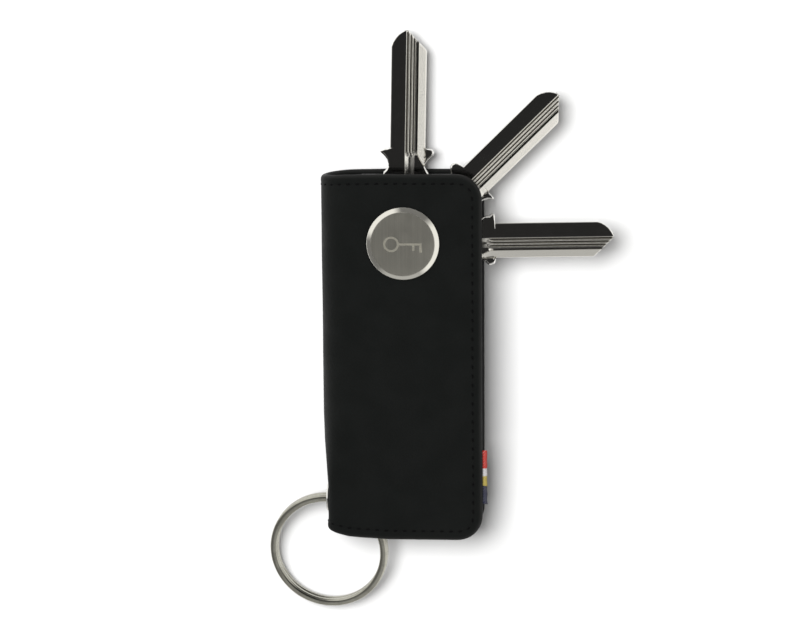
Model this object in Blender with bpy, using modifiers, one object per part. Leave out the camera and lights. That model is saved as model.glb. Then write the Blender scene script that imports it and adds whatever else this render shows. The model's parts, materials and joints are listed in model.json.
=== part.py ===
"""Key organiser: three keys fan out from a post clamped between the two leather covers of a folded case.

The case lies on its back.  X runs across it (the spine is at -X), Y runs along it (the keys come out
at +Y) and Z points up through the front cover.  The origin is the centre of the back cover's outer face.
"""

import math

import bmesh
import bpy
import numpy as np
from mathutils import Matrix, Vector

MM = 0.001

# Case outline, seen from the front
HALF_WIDTH = 19.8 * MM
HALF_LENGTH = 45.6 * MM
CORNER_RADIUS = 6.3 * MM
CASE_THICKNESS = 14.4 * MM
TRIM = 1.0 * MM                      # the cover's blank is this much too large before it is trimmed
CORNER_STEPS = 6

# Layers of each cover, from the outside in
LEATHER = 1.0 * MM
BOARD = 0.6 * MM
LINING = 0.6 * MM
LAYER_GAP = 0.1 * MM
HEM_WIDTH = 3.2 * MM                 # leather turned in along the free edges, round the board
LINING_INSET = 1.2 * MM
HEM_BITE = 0.2 * MM                  # how far the hem's solid runs into the leather it belongs to

# The spine is half a superellipse that joins the two flat covers.  Each station along the case gives
# y, the thickness there, how far the spine reaches past the flats, and its exponent (2 is an ellipse).
FLAT_END = -10.3 * MM
SPINE_STATIONS = (
    (46.6 * MM, 14.4 * MM, 9.50 * MM, 2.3),
    (-14.0 * MM, 14.4 * MM, 9.50 * MM, 2.3),
    (-21.0 * MM, 13.8 * MM, 9.30 * MM, 2.6),
    (-27.0 * MM, 12.9 * MM, 8.90 * MM, 3.6),
    (-32.2 * MM, 12.4 * MM, 8.45 * MM, 6.0),
    (-40.4 * MM, 12.4 * MM, 8.45 * MM, 6.0),
    (-43.5 * MM, 12.4 * MM, 8.80 * MM, 4.0),
    (-46.6 * MM, 12.4 * MM, 8.85 * MM, 3.5),
)
SPINE_SEGMENTS = 12
HOLLOW_FLOOR = LEATHER + BOARD + LINING + 2 * LAYER_GAP

# Post through both covers
POST_X = 0.7 * MM
POST_Y = 28.8 * MM
SHANK_RADIUS = 2.0 * MM
BORE_RADIUS = 1.55 * MM
BORE_FLOOR = 2.2 * MM
STUD_RADIUS = 1.5 * MM
STUD_FOOT = 3.0 * MM
PANEL_HOLE_RADIUS = 2.15 * MM
HEAD_RADIUS = 6.0 * MM
HEAD_HOLE_RADIUS = 6.15 * MM
HEAD_BOTTOM = 0.15 * MM
HEAD_TOP = 1.0 * MM
SHANK_TOP = 12.4 * MM
COIN_SLOT = (9.0 * MM, 1.2 * MM, 0.45 * MM)

# Front button
BUTTON_RADIUS = 8.95 * MM
BUTTON_FACE_RADIUS = 7.6 * MM
BUTTON_BOTTOM = 14.5 * MM
BUTTON_TOP = 16.0 * MM
BUTTON_EDGE = 0.55 * MM              # height of the straight edge under the bevelled rim
SOCKET_DEPTH = 0.9 * MM

# Stack on the post, from the back lining up
STACK_GAP = 0.05 * MM
WASHER_THICKNESS = 0.45 * MM
WASHER_RADIUS = 6.0 * MM
WASHER_HOLE_RADIUS = 2.15 * MM
KEY_THICKNESS = 2.2 * MM
WAVE_THICKNESS = 0.22 * MM
WAVE_HEIGHT = 0.24 * MM
WAVE_COUNT = 3
WAVE_INNER_RADIUS = 2.4 * MM
WAVE_OUTER_RADIUS = 5.8 * MM
WAVE_Z = 11.6 * MM

# Keys: the hole is at the origin, the blade points along +X and the face seen from the front is +Z
KEY_ANGLES = (88.8, 44.5, 1.0)
# How far each key sits off its own hole, along and across the blade
KEY_SHIFTS = ((0.5 * MM, -0.1 * MM), (1.1 * MM, -1.5 * MM), (0.5 * MM, -0.1 * MM))
KEY_HOLE_RADIUS = 2.15 * MM
BLADE_HALF_WIDTH = 4.3 * MM
KEY_TIP = 50.4 * MM
TIP_SLANT = 4.8 * MM                 # length of the slanting right side of the tip
TIP_FLAT = (0.35 * MM, 0.95 * MM)    # the blunt end, measured across the blade
# The tip's left side, as points in mm past the tip and out from the middle
TIP_LEFT = ((-0.45, 1.85), (-1.05, 2.65), (-1.9, 3.37), (-2.9, 3.98), (-3.8, 4.28))
SHOULDER = 21.7 * MM
# The ears and the neck, as points in mm past the shoulder and out from the blade's side
LEFT_EAR = ((0.0, 0.02), (-0.2, 0.9), (-0.8, 2.5), (-1.6, 1.8))
LEFT_NECK = ((-3.9, 0.35), (-4.9, 0.5), (-5.9, 1.5))
RIGHT_NECK = ((-5.9, 0.8), (-4.5, -0.1), (-3.1, 0.5), (-2.0, 1.6))
RIGHT_EAR_CENTRE = (-1.1, 1.3)
RIGHT_EAR_RADIUS = 0.9 * MM
RIGHT_EAR_END = (0.1, 0.02)
BOW_RADIUS = 11.0 * MM
BOW_CENTRE = 2.0 * MM
BOW_HEEL = -7.0 * MM
HEEL_RADIUS = 4.0 * MM
HEEL_OFFSET = 3.0 * MM
GROOVE_DEPTH = 0.42 * MM
RIDGE_DEPTH = 0.12 * MM
RIDGE_PITCH = 0.78 * MM
RIDGE_COUNT = 3
GROOVE_START = 0.65 * MM             # edge of the ridged zone, measured across the blade
SLOT_DEPTH = 0.75 * MM
SLOT_WIDTH = 0.5 * MM
SLOT_OFFSET = 0.21 * MM              # land between the last ridge and the slot
SLOT_DRAFT = 0.05 * MM
STEP_DEPTH = 0.4 * MM
GROOVE_ROOT = 0.8 * MM               # the grooves end this far below the shoulder
RUN_OUT = (3.6 * MM, 1.9 * MM)       # the milled step fades out over this length and width
RUN_OUT_CURVE = 1.6
CHANNEL_START = 9.0 * MM
CHANNEL_DEPTH = 0.3 * MM
CUT_OVERLAP = 0.1 * MM

# Eyelet in the spine and the split ring that hangs in it
EYELET_Y = -36.4 * MM
EYELET_Z = 6.2 * MM
EYELET_RADIUS = 3.6 * MM
EYELET_HOLE = 2.3 * MM
EYELET_BARREL = 2.6 * MM
EYELET_PROUD = 0.6 * MM
EYELET_CLENCH = 3.1 * MM
CLENCH_THICKNESS = 0.3 * MM
EYELET_BEVEL = (0.35 * MM, 0.25 * MM)
EYELET_LIP = 0.2 * MM
EYELET_WASHER_RADIUS = 3.4 * MM
EYELET_WASHER = 0.3 * MM
RING_OUTER_RADIUS = 15.0 * MM
RING_WIRE_WIDTH = 1.9 * MM
RING_WIRE_HEIGHT = 1.35 * MM
RING_COIL_PITCH = 1.45 * MM
RING_DIRECTION = math.radians(-94.5)  # from the eyelet to the ring's centre, seen from above
RING_SLOPE = 0.155                   # how steeply the ring's plane falls
RING_SLOPE_DIRECTION = math.radians(-125.0)
RING_STEP_ANGLE = math.radians(165.0)  # where the wire climbs from one coil to the next
RING_STEP_SPAN = (0.90, 0.98)        # the climb, in turns from the wire's lower end
RING_SEGMENTS = 48
RING_SECTION_SIDES = 12
RING_TURNS = 1.88

# Woven tab in the front cover's seam
TAB_Y = -29.6 * MM
TAB_LENGTH = 13.8 * MM
TAB_REACH = 21.0 * MM
TAB_ROOT = 17.0 * MM
TAB_THICKNESS = 0.5 * MM
TAB_CLEARANCE = 0.1 * MM


# ---------------------------------------------------------------- scene and helpers

for leftover in list(bpy.data.objects):
    bpy.data.objects.remove(leftover, do_unlink=True)

PARTS = bpy.data.collections.new("key_organiser")
CUTTERS = bpy.data.collections.new("cutters")
bpy.context.scene.collection.children.link(PARTS)
bpy.context.scene.collection.children.link(CUTTERS)


def material(name, colour, roughness, metallic=0.0):
    """A Principled material in one plain colour."""
    made = bpy.data.materials.new(name)
    made.use_nodes = True
    shader = made.node_tree.nodes["Principled BSDF"]
    shader.inputs["Base Color"].default_value = (*colour, 1.0)
    shader.inputs["Roughness"].default_value = roughness
    shader.inputs["Metallic"].default_value = metallic
    return made


def add_part(name, mesh, colour_material, location=(0, 0, 0), turn=None):
    """Make the object of one sub-part from a mesh."""
    part = bpy.data.objects.new(name, mesh)
    part.data.materials.clear()
    part.data.materials.append(colour_material)
    part.location = location
    if turn is not None:
        part.rotation_euler = turn.to_euler()
    PARTS.objects.link(part)
    return part


def smooth(mesh, angle=30.0):
    """Shade a mesh smooth, with edges above the angle kept sharp."""
    mesh.shade_smooth()
    mesh.set_sharp_from_angle(angle=math.radians(angle))
    return mesh


def evaluated(obj):
    """The object's mesh with its modifiers applied; the object itself is removed."""
    bpy.context.view_layer.update()
    graph = bpy.context.evaluated_depsgraph_get()
    mesh = bpy.data.meshes.new_from_object(obj.evaluated_get(graph))
    bpy.data.objects.remove(obj, do_unlink=True)
    return mesh


def scratch(name, data):
    """An object for the cutters' collection."""
    obj = bpy.data.objects.new(name, data)
    obj.hide_render = True
    obj.display_type = "WIRE"
    CUTTERS.objects.link(obj)
    return obj


def arc(cx, cy, radius, start, stop, steps=CORNER_STEPS):
    """Points on an arc, both ends included; the angles are in degrees."""
    angles = np.radians(np.linspace(start, stop, steps + 1))
    return [(cx + radius * math.cos(a), cy + radius * math.sin(a)) for a in angles]


def prism(name, points, z_low, z_high):
    """A flat outline given thickness, as a mesh between two heights."""
    curve = bpy.data.curves.new(name, "CURVE")
    curve.dimensions = "2D"
    curve.fill_mode = "BOTH"
    curve.extrude = (z_high - z_low) / 2
    spline = curve.splines.new("POLY")
    spline.points.add(len(points) - 1)
    for spline_point, (x, y) in zip(spline.points, points):
        spline_point.co = (x, y, 0.0, 1.0)
    spline.use_cyclic_u = True
    mesh = evaluated(scratch(name, curve))
    bpy.data.curves.remove(curve)
    body = bmesh.new()
    body.from_mesh(mesh)
    bmesh.ops.remove_doubles(body, verts=body.verts, dist=0.001 * MM)
    bmesh.ops.dissolve_limit(body, angle_limit=math.radians(0.1), verts=body.verts, edges=body.edges)
    bmesh.ops.translate(body, verts=body.verts, vec=(0, 0, (z_low + z_high) / 2))
    bmesh.ops.recalc_face_normals(body, faces=body.faces)
    body.to_mesh(mesh)
    body.free()
    return mesh


def cylinder(name, x, y, radius, z_low, z_high, segments=32):
    """A plain cylinder along Z."""
    mesh = bpy.data.meshes.new(name)
    body = bmesh.new()
    bmesh.ops.create_cone(body, cap_ends=True, segments=segments, radius1=radius, radius2=radius,
                          depth=z_high - z_low)
    bmesh.ops.translate(body, verts=body.verts, vec=(x, y, (z_low + z_high) / 2))
    body.to_mesh(mesh)
    body.free()
    return mesh


def block(name, x, y, z):
    """A box between pairs of limits."""
    mesh = bpy.data.meshes.new(name)
    body = bmesh.new()
    bmesh.ops.create_cube(body, size=1.0)
    size = (x[1] - x[0], y[1] - y[0], z[1] - z[0])
    bmesh.ops.scale(body, verts=body.verts, vec=size)
    middle = ((x[0] + x[1]) / 2, (y[0] + y[1]) / 2, (z[0] + z[1]) / 2)
    bmesh.ops.translate(body, verts=body.verts, vec=middle)
    body.to_mesh(mesh)
    body.free()
    return mesh


def combine(mesh, tools):
    """Cut, join or intersect a mesh with others; tools are pairs of operation and mesh."""
    body = scratch("blank", mesh)
    for operation, tool in tools:
        boolean = body.modifiers.new(operation.lower(), "BOOLEAN")
        boolean.operation = operation
        boolean.solver = "EXACT"
        boolean.object = scratch(tool.name, tool)
    result = evaluated(body)
    result.name = mesh.name
    return result


def turned(name, profile, segments=40):
    """A closed profile of (radius, height) points, which runs down its outer side, spun about Z."""
    mesh = bpy.data.meshes.new(name)
    edges = [(i, (i + 1) % len(profile)) for i in range(len(profile))]
    mesh.from_pydata([(radius, 0.0, height) for radius, height in profile], edges, [])
    spun = scratch(name, mesh)
    screw = spun.modifiers.new("spin", "SCREW")
    screw.steps = segments
    screw.render_steps = segments
    screw.use_merge_vertices = True
    screw.merge_threshold = 0.001 * MM
    result = evaluated(spun)
    body = bmesh.new()
    body.from_mesh(result)
    bmesh.ops.remove_doubles(body, verts=body.verts, dist=0.001 * MM)
    bmesh.ops.recalc_face_normals(body, faces=body.faces)
    body.to_mesh(result)
    body.free()
    return smooth(result)


# ---------------------------------------------------------------- materials

LEATHER_BLACK = material("leather_black", (0.012, 0.013, 0.012), 0.62)
LINING_BLACK = material("lining_black", (0.02, 0.02, 0.02), 0.85)
BOARD_GREY = material("board_grey", (0.10, 0.10, 0.10), 0.7)
POST_STEEL = material("post_steel", (0.62, 0.60, 0.56), 0.3, 1.0)
BUTTON_STEEL = material("button_steel", (0.46, 0.44, 0.40), 0.35, 1.0)
KEY_NICKEL = material("key_nickel", (0.72, 0.70, 0.65), 0.15, 1.0)
RING_NICKEL = material("ring_nickel", (0.55, 0.54, 0.49), 0.15, 1.0)
EYELET_NICKEL = material("eyelet_nickel", (0.75, 0.74, 0.70), 0.2, 1.0)
WASHER_NYLON = material("washer_nylon", (0.75, 0.74, 0.70), 0.45)
SPRING_STEEL = material("spring_steel", (0.5, 0.5, 0.5), 0.3, 1.0)
TAB_RIBBON = material("tab_ribbon", (0.55, 0.06, 0.06), 0.8)


# ---------------------------------------------------------------- case outline and cover

def station_value(y, column):
    """A column of the station table, read between its rows."""
    rows = sorted(SPINE_STATIONS)
    return float(np.interp(y, [row[0] for row in rows], [row[column] for row in rows]))


def thickness_drop(y):
    """How much thinner the case is at y than at its thick end."""
    return CASE_THICKNESS - station_value(y, 1)


def cover_outline(inset, left):
    """Outline of one flat cover: rounded corners on the right, square at the left limit."""
    right = HALF_WIDTH - inset
    end = HALF_LENGTH - inset
    radius = CORNER_RADIUS - inset
    points = [(left, -end)]
    points += arc(right - radius, radius - end, radius, -90, 0)
    points += arc(right - radius, end - radius, radius, 0, 90)
    points += [(left, end)]
    return points


def bend_to_taper(mesh):
    """Lower a flat piece of the front cover to follow the case's taper, creased at the stations."""
    body = bmesh.new()
    body.from_mesh(mesh)
    for station in SPINE_STATIONS:
        geometry = list(body.verts) + list(body.edges) + list(body.faces)
        bmesh.ops.bisect_plane(body, geom=geometry, dist=0.0001 * MM, plane_co=(0, station[0], 0),
                               plane_no=(0, 1, 0))
    for vert in body.verts:
        vert.co.z -= thickness_drop(vert.co.y)
    body.to_mesh(mesh)
    body.free()
    return mesh


def spine_shell():
    """The leather as one open sheet, round the spine from the front's free edge to the back's."""
    body = bmesh.new()
    rows = []
    for y, thick, reach, exponent in SPINE_STATIONS:
        half = thick / 2
        section = [(HALF_WIDTH + TRIM, thick)]
        for angle in np.linspace(math.pi / 2, -math.pi / 2, SPINE_SEGMENTS + 1):
            across = abs(math.cos(angle)) ** (2 / exponent) * reach
            up = math.copysign(abs(math.sin(angle)) ** (2 / exponent), angle) * half
            section.append((FLAT_END - across, half + up))
        section.append((HALF_WIDTH + TRIM, 0.0))
        rows.append([body.verts.new((x, y, z)) for x, z in section])
    for upper, lower in zip(rows[:-1], rows[1:]):
        for i in range(len(upper) - 1):
            body.faces.new((upper[i], upper[i + 1], lower[i + 1], lower[i]))
    mesh = bpy.data.meshes.new("outer_cover")
    body.to_mesh(mesh)
    body.free()
    sheet = scratch("outer_cover", mesh)
    wall = sheet.modifiers.new("leather", "SOLIDIFY")
    wall.thickness = LEATHER
    wall.offset = -1.0
    wall.use_even_offset = True
    return evaluated(sheet)


def hem(name, z_low, z_high):
    """The turned edge of one cover: a frame open at the spine side."""
    pocket = prism("pocket", cover_outline(HEM_WIDTH, FLAT_END - TRIM), z_low - TRIM, z_high + TRIM)
    return combine(prism(name, cover_outline(0.0, FLAT_END), z_low, z_high), [("DIFFERENCE", pocket)])


def make_cover():
    """Leather cover with its hems, post holes, eyelet hole and the slit for the woven tab."""
    inner = LEATHER + LAYER_GAP + BOARD
    back_hem = hem("back_hem", LEATHER - HEM_BITE, inner)
    front_hem = hem("front_hem", CASE_THICKNESS - inner, CASE_THICKNESS - LEATHER + HEM_BITE)
    trim_outline = cover_outline(0.0, -HALF_WIDTH - 2 * TRIM)
    eyelet_cutter = cylinder("eyelet_hole", 0, 0, EYELET_BARREL + LAYER_GAP, -3 * MM, 3 * MM, 32)
    eyelet_cutter.transform(Matrix.Translation((FLAT_END - station_value(EYELET_Y, 2), EYELET_Y, EYELET_Z))
                            @ Matrix.Rotation(math.pi / 2, 4, "Y"))
    tab_z = CASE_THICKNESS - LEATHER - LAYER_GAP - BOARD / 2
    slit = bend_to_taper(block(
        "slit", (TAB_ROOT - 4 * TAB_CLEARANCE, HALF_WIDTH + TRIM),
        (TAB_Y - TAB_LENGTH / 2 - TAB_CLEARANCE, TAB_Y + TAB_LENGTH / 2 + TAB_CLEARANCE),
        (tab_z - TAB_THICKNESS / 2 - TAB_CLEARANCE, tab_z + TAB_THICKNESS / 2 + TAB_CLEARANCE)))
    return combine(spine_shell(), [
        ("UNION", back_hem),
        ("UNION", bend_to_taper(front_hem)),
        ("INTERSECT", prism("trim", trim_outline, -TRIM, CASE_THICKNESS + TRIM)),
        ("DIFFERENCE", cylinder("head_hole", POST_X, POST_Y, HEAD_HOLE_RADIUS, -TRIM, LEATHER + TRIM, 40)),
        ("DIFFERENCE", cylinder("front_hole", POST_X, POST_Y, PANEL_HOLE_RADIUS,
                                CASE_THICKNESS - LEATHER - TRIM, CASE_THICKNESS + TRIM)),
        ("DIFFERENCE", eyelet_cutter),
        ("DIFFERENCE", slit),
    ])


def panel(name, inset, left, z_low, z_high):
    """A flat layer of one cover with the post's hole through it."""
    hole = cylinder(name + "_hole", POST_X, POST_Y, PANEL_HOLE_RADIUS, z_low - TRIM, z_high + TRIM)
    return combine(prism(name, cover_outline(inset, left), z_low, z_high), [("DIFFERENCE", hole)])


def make_panels():
    """Board and lining of each cover; the front pair follows the taper."""
    board_inset = HEM_WIDTH + LAYER_GAP
    board_low = LEATHER + LAYER_GAP
    lining_low = board_low + BOARD + LAYER_GAP
    add_part("back_stiffener", panel("back_stiffener", board_inset, FLAT_END, board_low, board_low + BOARD),
             BOARD_GREY)
    add_part("back_lining", panel("back_lining", LINING_INSET, FLAT_END, lining_low, lining_low + LINING),
             LINING_BLACK)
    board_top = CASE_THICKNESS - board_low
    lining_top = CASE_THICKNESS - lining_low
    add_part("front_stiffener",
             bend_to_taper(panel("front_stiffener", board_inset, FLAT_END, board_top - BOARD, board_top)),
             BOARD_GREY)
    add_part("front_lining",
             bend_to_taper(panel("front_lining", LINING_INSET, FLAT_END, lining_top - LINING, lining_top)),
             LINING_BLACK)


# ---------------------------------------------------------------- post, button and stack

def make_post():
    """Barrel nut with a coin slot in its head, and the button whose stud screws into it."""
    barrel = turned("post_barrel", [
        (HEAD_RADIUS, HEAD_TOP), (HEAD_RADIUS, HEAD_BOTTOM), (0.0, HEAD_BOTTOM), (0.0, BORE_FLOOR),
        (BORE_RADIUS, BORE_FLOOR), (BORE_RADIUS, SHANK_TOP), (SHANK_RADIUS, SHANK_TOP),
        (SHANK_RADIUS, HEAD_TOP)])
    length, width, depth = COIN_SLOT
    coin_slot = block("coin_slot", (-length / 2, length / 2), (-width / 2, width / 2),
                      (HEAD_BOTTOM - depth, HEAD_BOTTOM + depth))
    add_part("post_barrel", combine(barrel, [("DIFFERENCE", coin_slot)]), POST_STEEL, (POST_X, POST_Y, 0))

    socket_top = BUTTON_BOTTOM + SOCKET_DEPTH
    button = turned("button_cap", [
        (BUTTON_FACE_RADIUS, BUTTON_TOP), (BUTTON_RADIUS, BUTTON_BOTTOM + BUTTON_EDGE),
        (BUTTON_RADIUS, BUTTON_BOTTOM), (BORE_RADIUS, BUTTON_BOTTOM), (BORE_RADIUS, socket_top),
        (0.0, socket_top), (0.0, BUTTON_TOP)], 56)
    add_part("button_cap", button, BUTTON_STEEL, (POST_X, POST_Y, 0))

    stud_top = socket_top - LAYER_GAP
    stud = cylinder("button_screw", 0, 0, STUD_RADIUS, STUD_FOOT, stud_top, 24)
    add_part("button_screw", smooth(stud), POST_STEEL, (POST_X, POST_Y, 0))


def washer_mesh():
    """A flat nylon washer standing on z = 0."""
    return turned("washer", [
        (WASHER_RADIUS, WASHER_THICKNESS), (WASHER_RADIUS, 0.0),
        (WASHER_HOLE_RADIUS, 0.0), (WASHER_HOLE_RADIUS, WASHER_THICKNESS)], 32)


def make_wave_washer():
    """A thin ring whose height is a cosine of the angle, with three crests."""
    body = bmesh.new()
    steps = 12 * WAVE_COUNT
    rings = []
    for radius in (WAVE_INNER_RADIUS, WAVE_OUTER_RADIUS):
        ring = []
        for angle in np.linspace(0, 2 * math.pi, steps, endpoint=False):
            height = WAVE_HEIGHT * math.cos(WAVE_COUNT * angle)
            ring.append(body.verts.new((radius * math.cos(angle), radius * math.sin(angle), height)))
        rings.append(ring)
    for i in range(steps):
        after = (i + 1) % steps
        body.faces.new((rings[0][i], rings[1][i], rings[1][after], rings[0][after]))
    mesh = bpy.data.meshes.new("wave_washer")
    body.to_mesh(mesh)
    body.free()
    sheet = scratch("wave_washer", mesh)
    wall = sheet.modifiers.new("wall", "SOLIDIFY")
    wall.thickness = WAVE_THICKNESS
    wall.offset = 0.0
    add_part("wave_washer", smooth(evaluated(sheet)), SPRING_STEEL, (POST_X, POST_Y, WAVE_Z))


# ---------------------------------------------------------------- keys

def from_shoulder(points, side):
    """Points of an ear or a neck on one side of the key: +1 is the left side and -1 the right."""
    return [(SHOULDER + along * MM, side * (BLADE_HALF_WIDTH + out * MM)) for along, out in points]


def key_outline():
    """Outline of an uncut key, anticlockwise from the right side of its tip."""
    points = [(KEY_TIP - TIP_SLANT, -BLADE_HALF_WIDTH), (KEY_TIP, TIP_FLAT[0]), (KEY_TIP, TIP_FLAT[1])]
    points += [(KEY_TIP + along * MM, out * MM) for along, out in TIP_LEFT]
    points += from_shoulder(LEFT_EAR + LEFT_NECK, 1)
    points += arc(BOW_CENTRE, 0.0, BOW_RADIUS, 40, 140, 8)
    points += arc(BOW_HEEL + HEEL_RADIUS, HEEL_OFFSET, HEEL_RADIUS, 130, 180, 3)
    points += arc(BOW_HEEL + HEEL_RADIUS, -HEEL_OFFSET, HEEL_RADIUS, 180, 230, 3)
    points += arc(BOW_CENTRE, 0.0, BOW_RADIUS, 220, 320, 8)
    points += from_shoulder(RIGHT_NECK, -1)
    ear_x, ear_y = from_shoulder([RIGHT_EAR_CENTRE], -1)[0]
    points += arc(ear_x, ear_y, RIGHT_EAR_RADIUS, -90, -10, 3)
    return points + from_shoulder([RIGHT_EAR_END], -1)


def groove_section():
    """Across the blade: ridged zone, narrow slot and milled step, as (y, depth) down from the face."""
    points = [(GROOVE_START, 0.0)]
    for i in range(RIDGE_COUNT):
        valley = GROOVE_START - (i + 0.5) * RIDGE_PITCH
        points += [(valley, GROOVE_DEPTH), (valley - RIDGE_PITCH / 2, RIDGE_DEPTH)]
    slot = points[-1][0] - SLOT_OFFSET
    step = slot - SLOT_WIDTH
    points += [(slot, RIDGE_DEPTH), (slot - SLOT_DRAFT, SLOT_DEPTH), (step, SLOT_DEPTH)]
    points += [(step - SLOT_DRAFT, STEP_DEPTH), (-BLADE_HALF_WIDTH - TRIM, STEP_DEPTH)]
    return points


def groove_cutters(side):
    """Cutters for one face of the key; side is 1 for the face at +Z and -1 for the other."""
    half = KEY_THICKNESS / 2
    root = SHOULDER - GROOVE_ROOT
    section = groove_section()
    above = [(-BLADE_HALF_WIDTH - TRIM, -TRIM), (GROOVE_START, -TRIM)]
    milling = prism("milling", [(y, -depth) for y, depth in section + above], root, KEY_TIP + TRIM)
    milling.transform(Matrix(((0, 0, 1, 0), (1, 0, 0, 0), (0, 1, 0, half), (0, 0, 0, 1))))
    ridge_end = GROOVE_START - RIDGE_COUNT * RIDGE_PITCH
    channel = block("channel", (CHANNEL_START, root + CUT_OVERLAP),
                    (ridge_end + CUT_OVERLAP, GROOVE_START - CUT_OVERLAP),
                    (half - CHANNEL_DEPTH, half + TRIM))
    # The milled step fades out towards the bow: its edge curves over to the blade's right side
    length, width = RUN_OUT
    run_out = [(root + CUT_OVERLAP, -BLADE_HALF_WIDTH - TRIM)]
    run_out += [(root + CUT_OVERLAP - length * t, section[-2][0] - width * t ** RUN_OUT_CURVE)
                for t in np.linspace(0, 1, CORNER_STEPS)]
    run_out += [(root - length - CUT_OVERLAP, -BLADE_HALF_WIDTH - TRIM)]
    fade = prism("fade", run_out, half - STEP_DEPTH, half + TRIM)
    turn = Matrix.Identity(4) if side > 0 else Matrix.Rotation(math.pi, 4, "X")
    for mesh in (milling, channel, fade):
        mesh.transform(turn)
        body = bmesh.new()
        body.from_mesh(mesh)
        bmesh.ops.recalc_face_normals(body, faces=body.faces)
        body.to_mesh(mesh)
        body.free()
    return [("DIFFERENCE", milling), ("DIFFERENCE", channel), ("DIFFERENCE", fade)]


def key_mesh(shift):
    """An uncut cylinder-lock key, with its hole on the Z axis and its blade shifted off the hole."""
    half = KEY_THICKNESS / 2
    blank = prism("key", key_outline(), -half, half)
    hole = cylinder("key_hole", -shift[0], -shift[1], KEY_HOLE_RADIUS, -KEY_THICKNESS, KEY_THICKNESS)
    mesh = combine(blank, [("DIFFERENCE", hole)] + groove_cutters(1) + groove_cutters(-1))
    mesh.transform(Matrix.Translation((*shift, 0.0)))
    return mesh


def make_stack():
    """Washers and keys in turn up the post, with the wave washer under the front lining."""
    washers = washer_mesh()
    height = HOLLOW_FLOOR + STACK_GAP
    for i, (angle, shift) in enumerate(zip(KEY_ANGLES, KEY_SHIFTS), start=1):
        add_part(f"washer_{i}", washers, WASHER_NYLON, (POST_X, POST_Y, height))
        height += WASHER_THICKNESS + STACK_GAP
        add_part(f"key_{i}", key_mesh(shift), KEY_NICKEL, (POST_X, POST_Y, height + KEY_THICKNESS / 2),
                 Matrix.Rotation(math.radians(angle), 4, "Z"))
        height += KEY_THICKNESS + STACK_GAP
    add_part(f"washer_{len(KEY_ANGLES) + 1}", washers, WASHER_NYLON, (POST_X, POST_Y, height))
    make_wave_washer()


# ---------------------------------------------------------------- eyelet, split ring and tab

def make_eyelet():
    """Flanged eyelet through the spine, clenched over a washer inside the case."""
    inner_face = -(LEATHER + 1.5 * LAYER_GAP)
    washer_low = inner_face - EYELET_WASHER
    clench_top = washer_low - LAYER_GAP
    clench_low = clench_top - CLENCH_THICKNESS
    flange = turned("ring_eyelet", [
        (EYELET_RADIUS - EYELET_BEVEL[0], EYELET_PROUD), (EYELET_RADIUS, EYELET_PROUD - EYELET_BEVEL[1]),
        (EYELET_RADIUS, LAYER_GAP), (EYELET_BARREL, LAYER_GAP), (EYELET_BARREL, clench_top),
        (EYELET_CLENCH, clench_top), (EYELET_CLENCH, clench_low), (EYELET_HOLE, clench_low),
        (EYELET_HOLE, EYELET_PROUD - EYELET_LIP), (EYELET_HOLE + EYELET_LIP, EYELET_PROUD)], 32)
    place = (FLAT_END - station_value(EYELET_Y, 2), EYELET_Y, EYELET_Z)
    turn = Matrix.Rotation(-math.pi / 2, 4, "Y")
    add_part("ring_eyelet", flange, EYELET_NICKEL, place, turn)
    washer = turned("eyelet_washer", [
        (EYELET_WASHER_RADIUS, inner_face), (EYELET_WASHER_RADIUS, washer_low),
        (EYELET_BARREL + LAYER_GAP, washer_low), (EYELET_BARREL + LAYER_GAP, inner_face)], 32)
    add_part("eyelet_washer", washer, EYELET_NICKEL, place, turn)


def ring_frame():
    """The ring's place: its hinge point in the eyelet and a turn that tips its plane towards the floor."""
    pivot = Vector((FLAT_END - station_value(EYELET_Y, 2) + LEATHER / 2, EYELET_Y, EYELET_Z))
    down = Vector((math.cos(RING_SLOPE_DIRECTION), math.sin(RING_SLOPE_DIRECTION), 0.0))
    normal = (down * RING_SLOPE + Vector((0, 0, 1))).normalized()
    flat = Vector((math.cos(RING_DIRECTION), math.sin(RING_DIRECTION), 0.0))
    along = (flat - normal * flat.dot(normal)).normalized()
    turn = Matrix((along, normal.cross(along), normal)).transposed()
    return pivot, turn


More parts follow.
